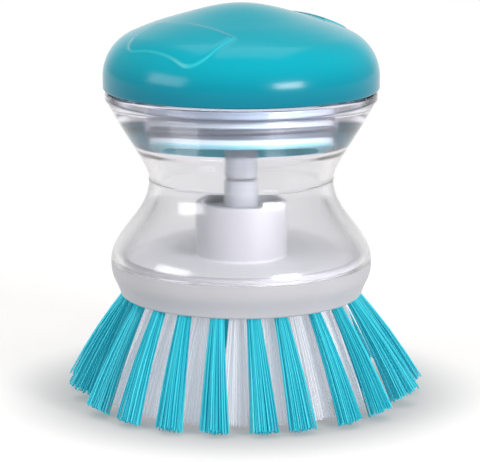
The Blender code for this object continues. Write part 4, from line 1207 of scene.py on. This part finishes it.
def filament_mesh(name, lines, thickness, roundness=0):
    """Turns centre lines into a mesh of thin tubes, and gives every tube its own shade value."""
    curve = bpy.data.curves.new(name, "CURVE")
    curve.dimensions = "3D"
    curve.bevel_depth = thickness / 2
    curve.bevel_resolution = roundness
    curve.use_fill_caps = True
    for line in lines:
        spline = curve.splines.new("POLY")
        spline.points.add(len(line) - 1)
        for corner, point in zip(spline.points, line):
            corner.co = (*point, 1)
    piece = put_in_scene(name, curve)
    bpy.context.view_layer.update()
    mesh = shown_mesh(piece)
    bpy.data.objects.remove(piece, do_unlink=True)
    per_filament = len(mesh.vertices) // len(lines)
    shade = mesh.attributes.new("shade", "FLOAT", "POINT")
    shade.data.foreach_set("value", [math.modf(index // per_filament * GOLDEN_SHARE)[0]
                                     for index in range(len(mesh.vertices))])
    return mesh


print(f"a filament is {1000 * FILAMENT_THICKNESS:.2f} mm thick")

# %% [markdown]
# No two tufts stand alike: use has pushed some aside and opened others. Random leans would look
# even again, so tufts that catch the eye have a habit of their own. Nylon passes some light, so
# each strand is part plain and part translucent, and a faint glow stands for the light inside a
# tuft.

# %% Bristles
# A habit: shift and twist round the brush and extra lean, in degrees, and the splay in depth.
PLAIN_HABIT = (0, 0, 0, DEPTH_SPLAY)
TEAL_HABITS = {0: (0, 1.8, -2.0, 1.5), 1: (-4.2, 0.9, -2.0, 1.5), 2: (-3, -0.7, -1.0, 1.6),
               3: (-4, -3.0, 0, 2.2), 4: (-3, -2, 0.5, 3.0), 5: (-4, -3, 0, 3.0), 6: (-3, 0, 0, 2.5),
               13: (3, 0, -2.0, 2.5), 14: (4, 2, -3.5, 3.0), 15: (1, 3.0, -3.8, 3.0),
               16: (4, 5.0, -1.2, 2.2), 17: (3, 5.0, -0.5, 1.6), 18: (0.7, 5.0, -1.0, 1.5),
               19: (0, 3.1, -2.0, 1.5)}
WHITE_HABITS = {4: (0, 0, -7, 1.5), 5: (0, 0, -9, 1.5), 6: (0, 0, -7, 1.5),
                14: (0, 0, -7, 1.5), 15: (0, 0, -9, 1.5), 16: (0, 0, -7, 1.5)}


def bristle_finish(name, dark, light, roughness, through, painted_glow):
    finish = new_finish(name)
    shade = finish.add("ShaderNodeAttribute", {"attribute_name": "shade"}).out("Fac")
    tone = blend(finish, shade, dark, light)
    # the emission is a painted glow for the light inside a tuft
    face = principled(finish, Base_Color=tone, Roughness=roughness, Emission_Color=tone,
                      Emission_Strength=painted_glow)
    middle = [(low + high) / 2 for low, high in zip(dark, light)]
    glow = finish.add("ShaderNodeBsdfTranslucent", None, {"Color": middle}).out()
    return finish.surface(mix_shaders(finish, through, face, glow))


def tuft_ring(name, node, material, radius, tufts, lean_degrees, start_degrees,
              filaments, habits):
    """One ring of tufts round the brush, as one piece."""
    random_source = random.Random(name)
    lines = []
    for tuft in range(tufts):
        shift, twist, extra_lean, depth_splay = habits.get(tuft, PLAIN_HABIT)
        bearing = math.tau * tuft / tufts + math.radians(start_degrees + shift)
        lean = math.radians(lean_degrees + extra_lean)
        lines += tuft_lines(bearing, math.radians(twist), radius, lean, filaments, random_source,
                            depth_splay)
    show_piece(name, filament_mesh(name, lines, FILAMENT_THICKNESS), material, "reservoir",
               [node])


teal_nylon = bristle_finish("teal_nylon", colour(0.01, 0.475, 0.60), colour(0.085, 0.81, 0.91),
                            roughness=0.28, through=0.3, painted_glow=0.14)
white_nylon = bristle_finish("white_nylon", colour(0.88, 0.89, 0.92), colour(0.98, 0.97, 0.99),
                             roughness=0.35, through=0.5, painted_glow=0.20)
tuft_ring("teal_bristles", "teal_tufts", teal_nylon, radius=0.0262, tufts=20,
          lean_degrees=31, start_degrees=6, filaments=64, habits=TEAL_HABITS)
for name, node, radius, tufts, lean_degrees, habits in (
        ("white_bristles_outer", "white_tufts_outer", 0.0222, 20, 25, WHITE_HABITS),
        ("white_bristles_middle", "white_tufts_middle", 0.0168, 12, 16, {}),
        ("white_bristles_inner", "white_tufts_inner", 0.0114, 8, 8, {})):
    tuft_ring(name, node, white_nylon, radius, tufts, lean_degrees,
              start_degrees=-3, filaments=48, habits=habits)

# %% [markdown]
# The return spring is one steel wire wound as a helix. A Screw modifier could wind it, but the
# curve that made the bristles serves as well. On a press its foot stays on the washer and its coils
# close up.

# %% Return spring
SPRING_WIRE_RADIUS = 0.0004
SPRING_TURNS = 4.5
SPRING_STEPS = 108
SPRING_ROUNDNESS = 2
SPRING_RADIUS = SPRING_REACH - SPRING_WIRE_RADIUS
SPRING_HEIGHT = SPRING_TOP - SPRING_FOOT


def spring_line():
    """Centre line of the wire, an even helix from the washer to the plunger's flange."""
    rise = SPRING_HEIGHT - 2 * SPRING_WIRE_RADIUS
    line = []
    for step in range(SPRING_STEPS + 1):
        along = step / SPRING_STEPS
        angle = math.tau * SPRING_TURNS * along
        line.append(Vector((SPRING_RADIUS * math.cos(angle), SPRING_RADIUS * math.sin(angle),
                            SPRING_FOOT + SPRING_WIRE_RADIUS + rise * along)))
    return line


spring_mesh = filament_mesh("return_spring_wound", [spring_line()], 2 * SPRING_WIRE_RADIUS,
                            SPRING_ROUNDNESS)
spring_mesh.shade_smooth()
spring = show_piece("return_spring_wound", spring_mesh, spring_steel, "reservoir",
                    ["return_spring"])
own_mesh(spring)
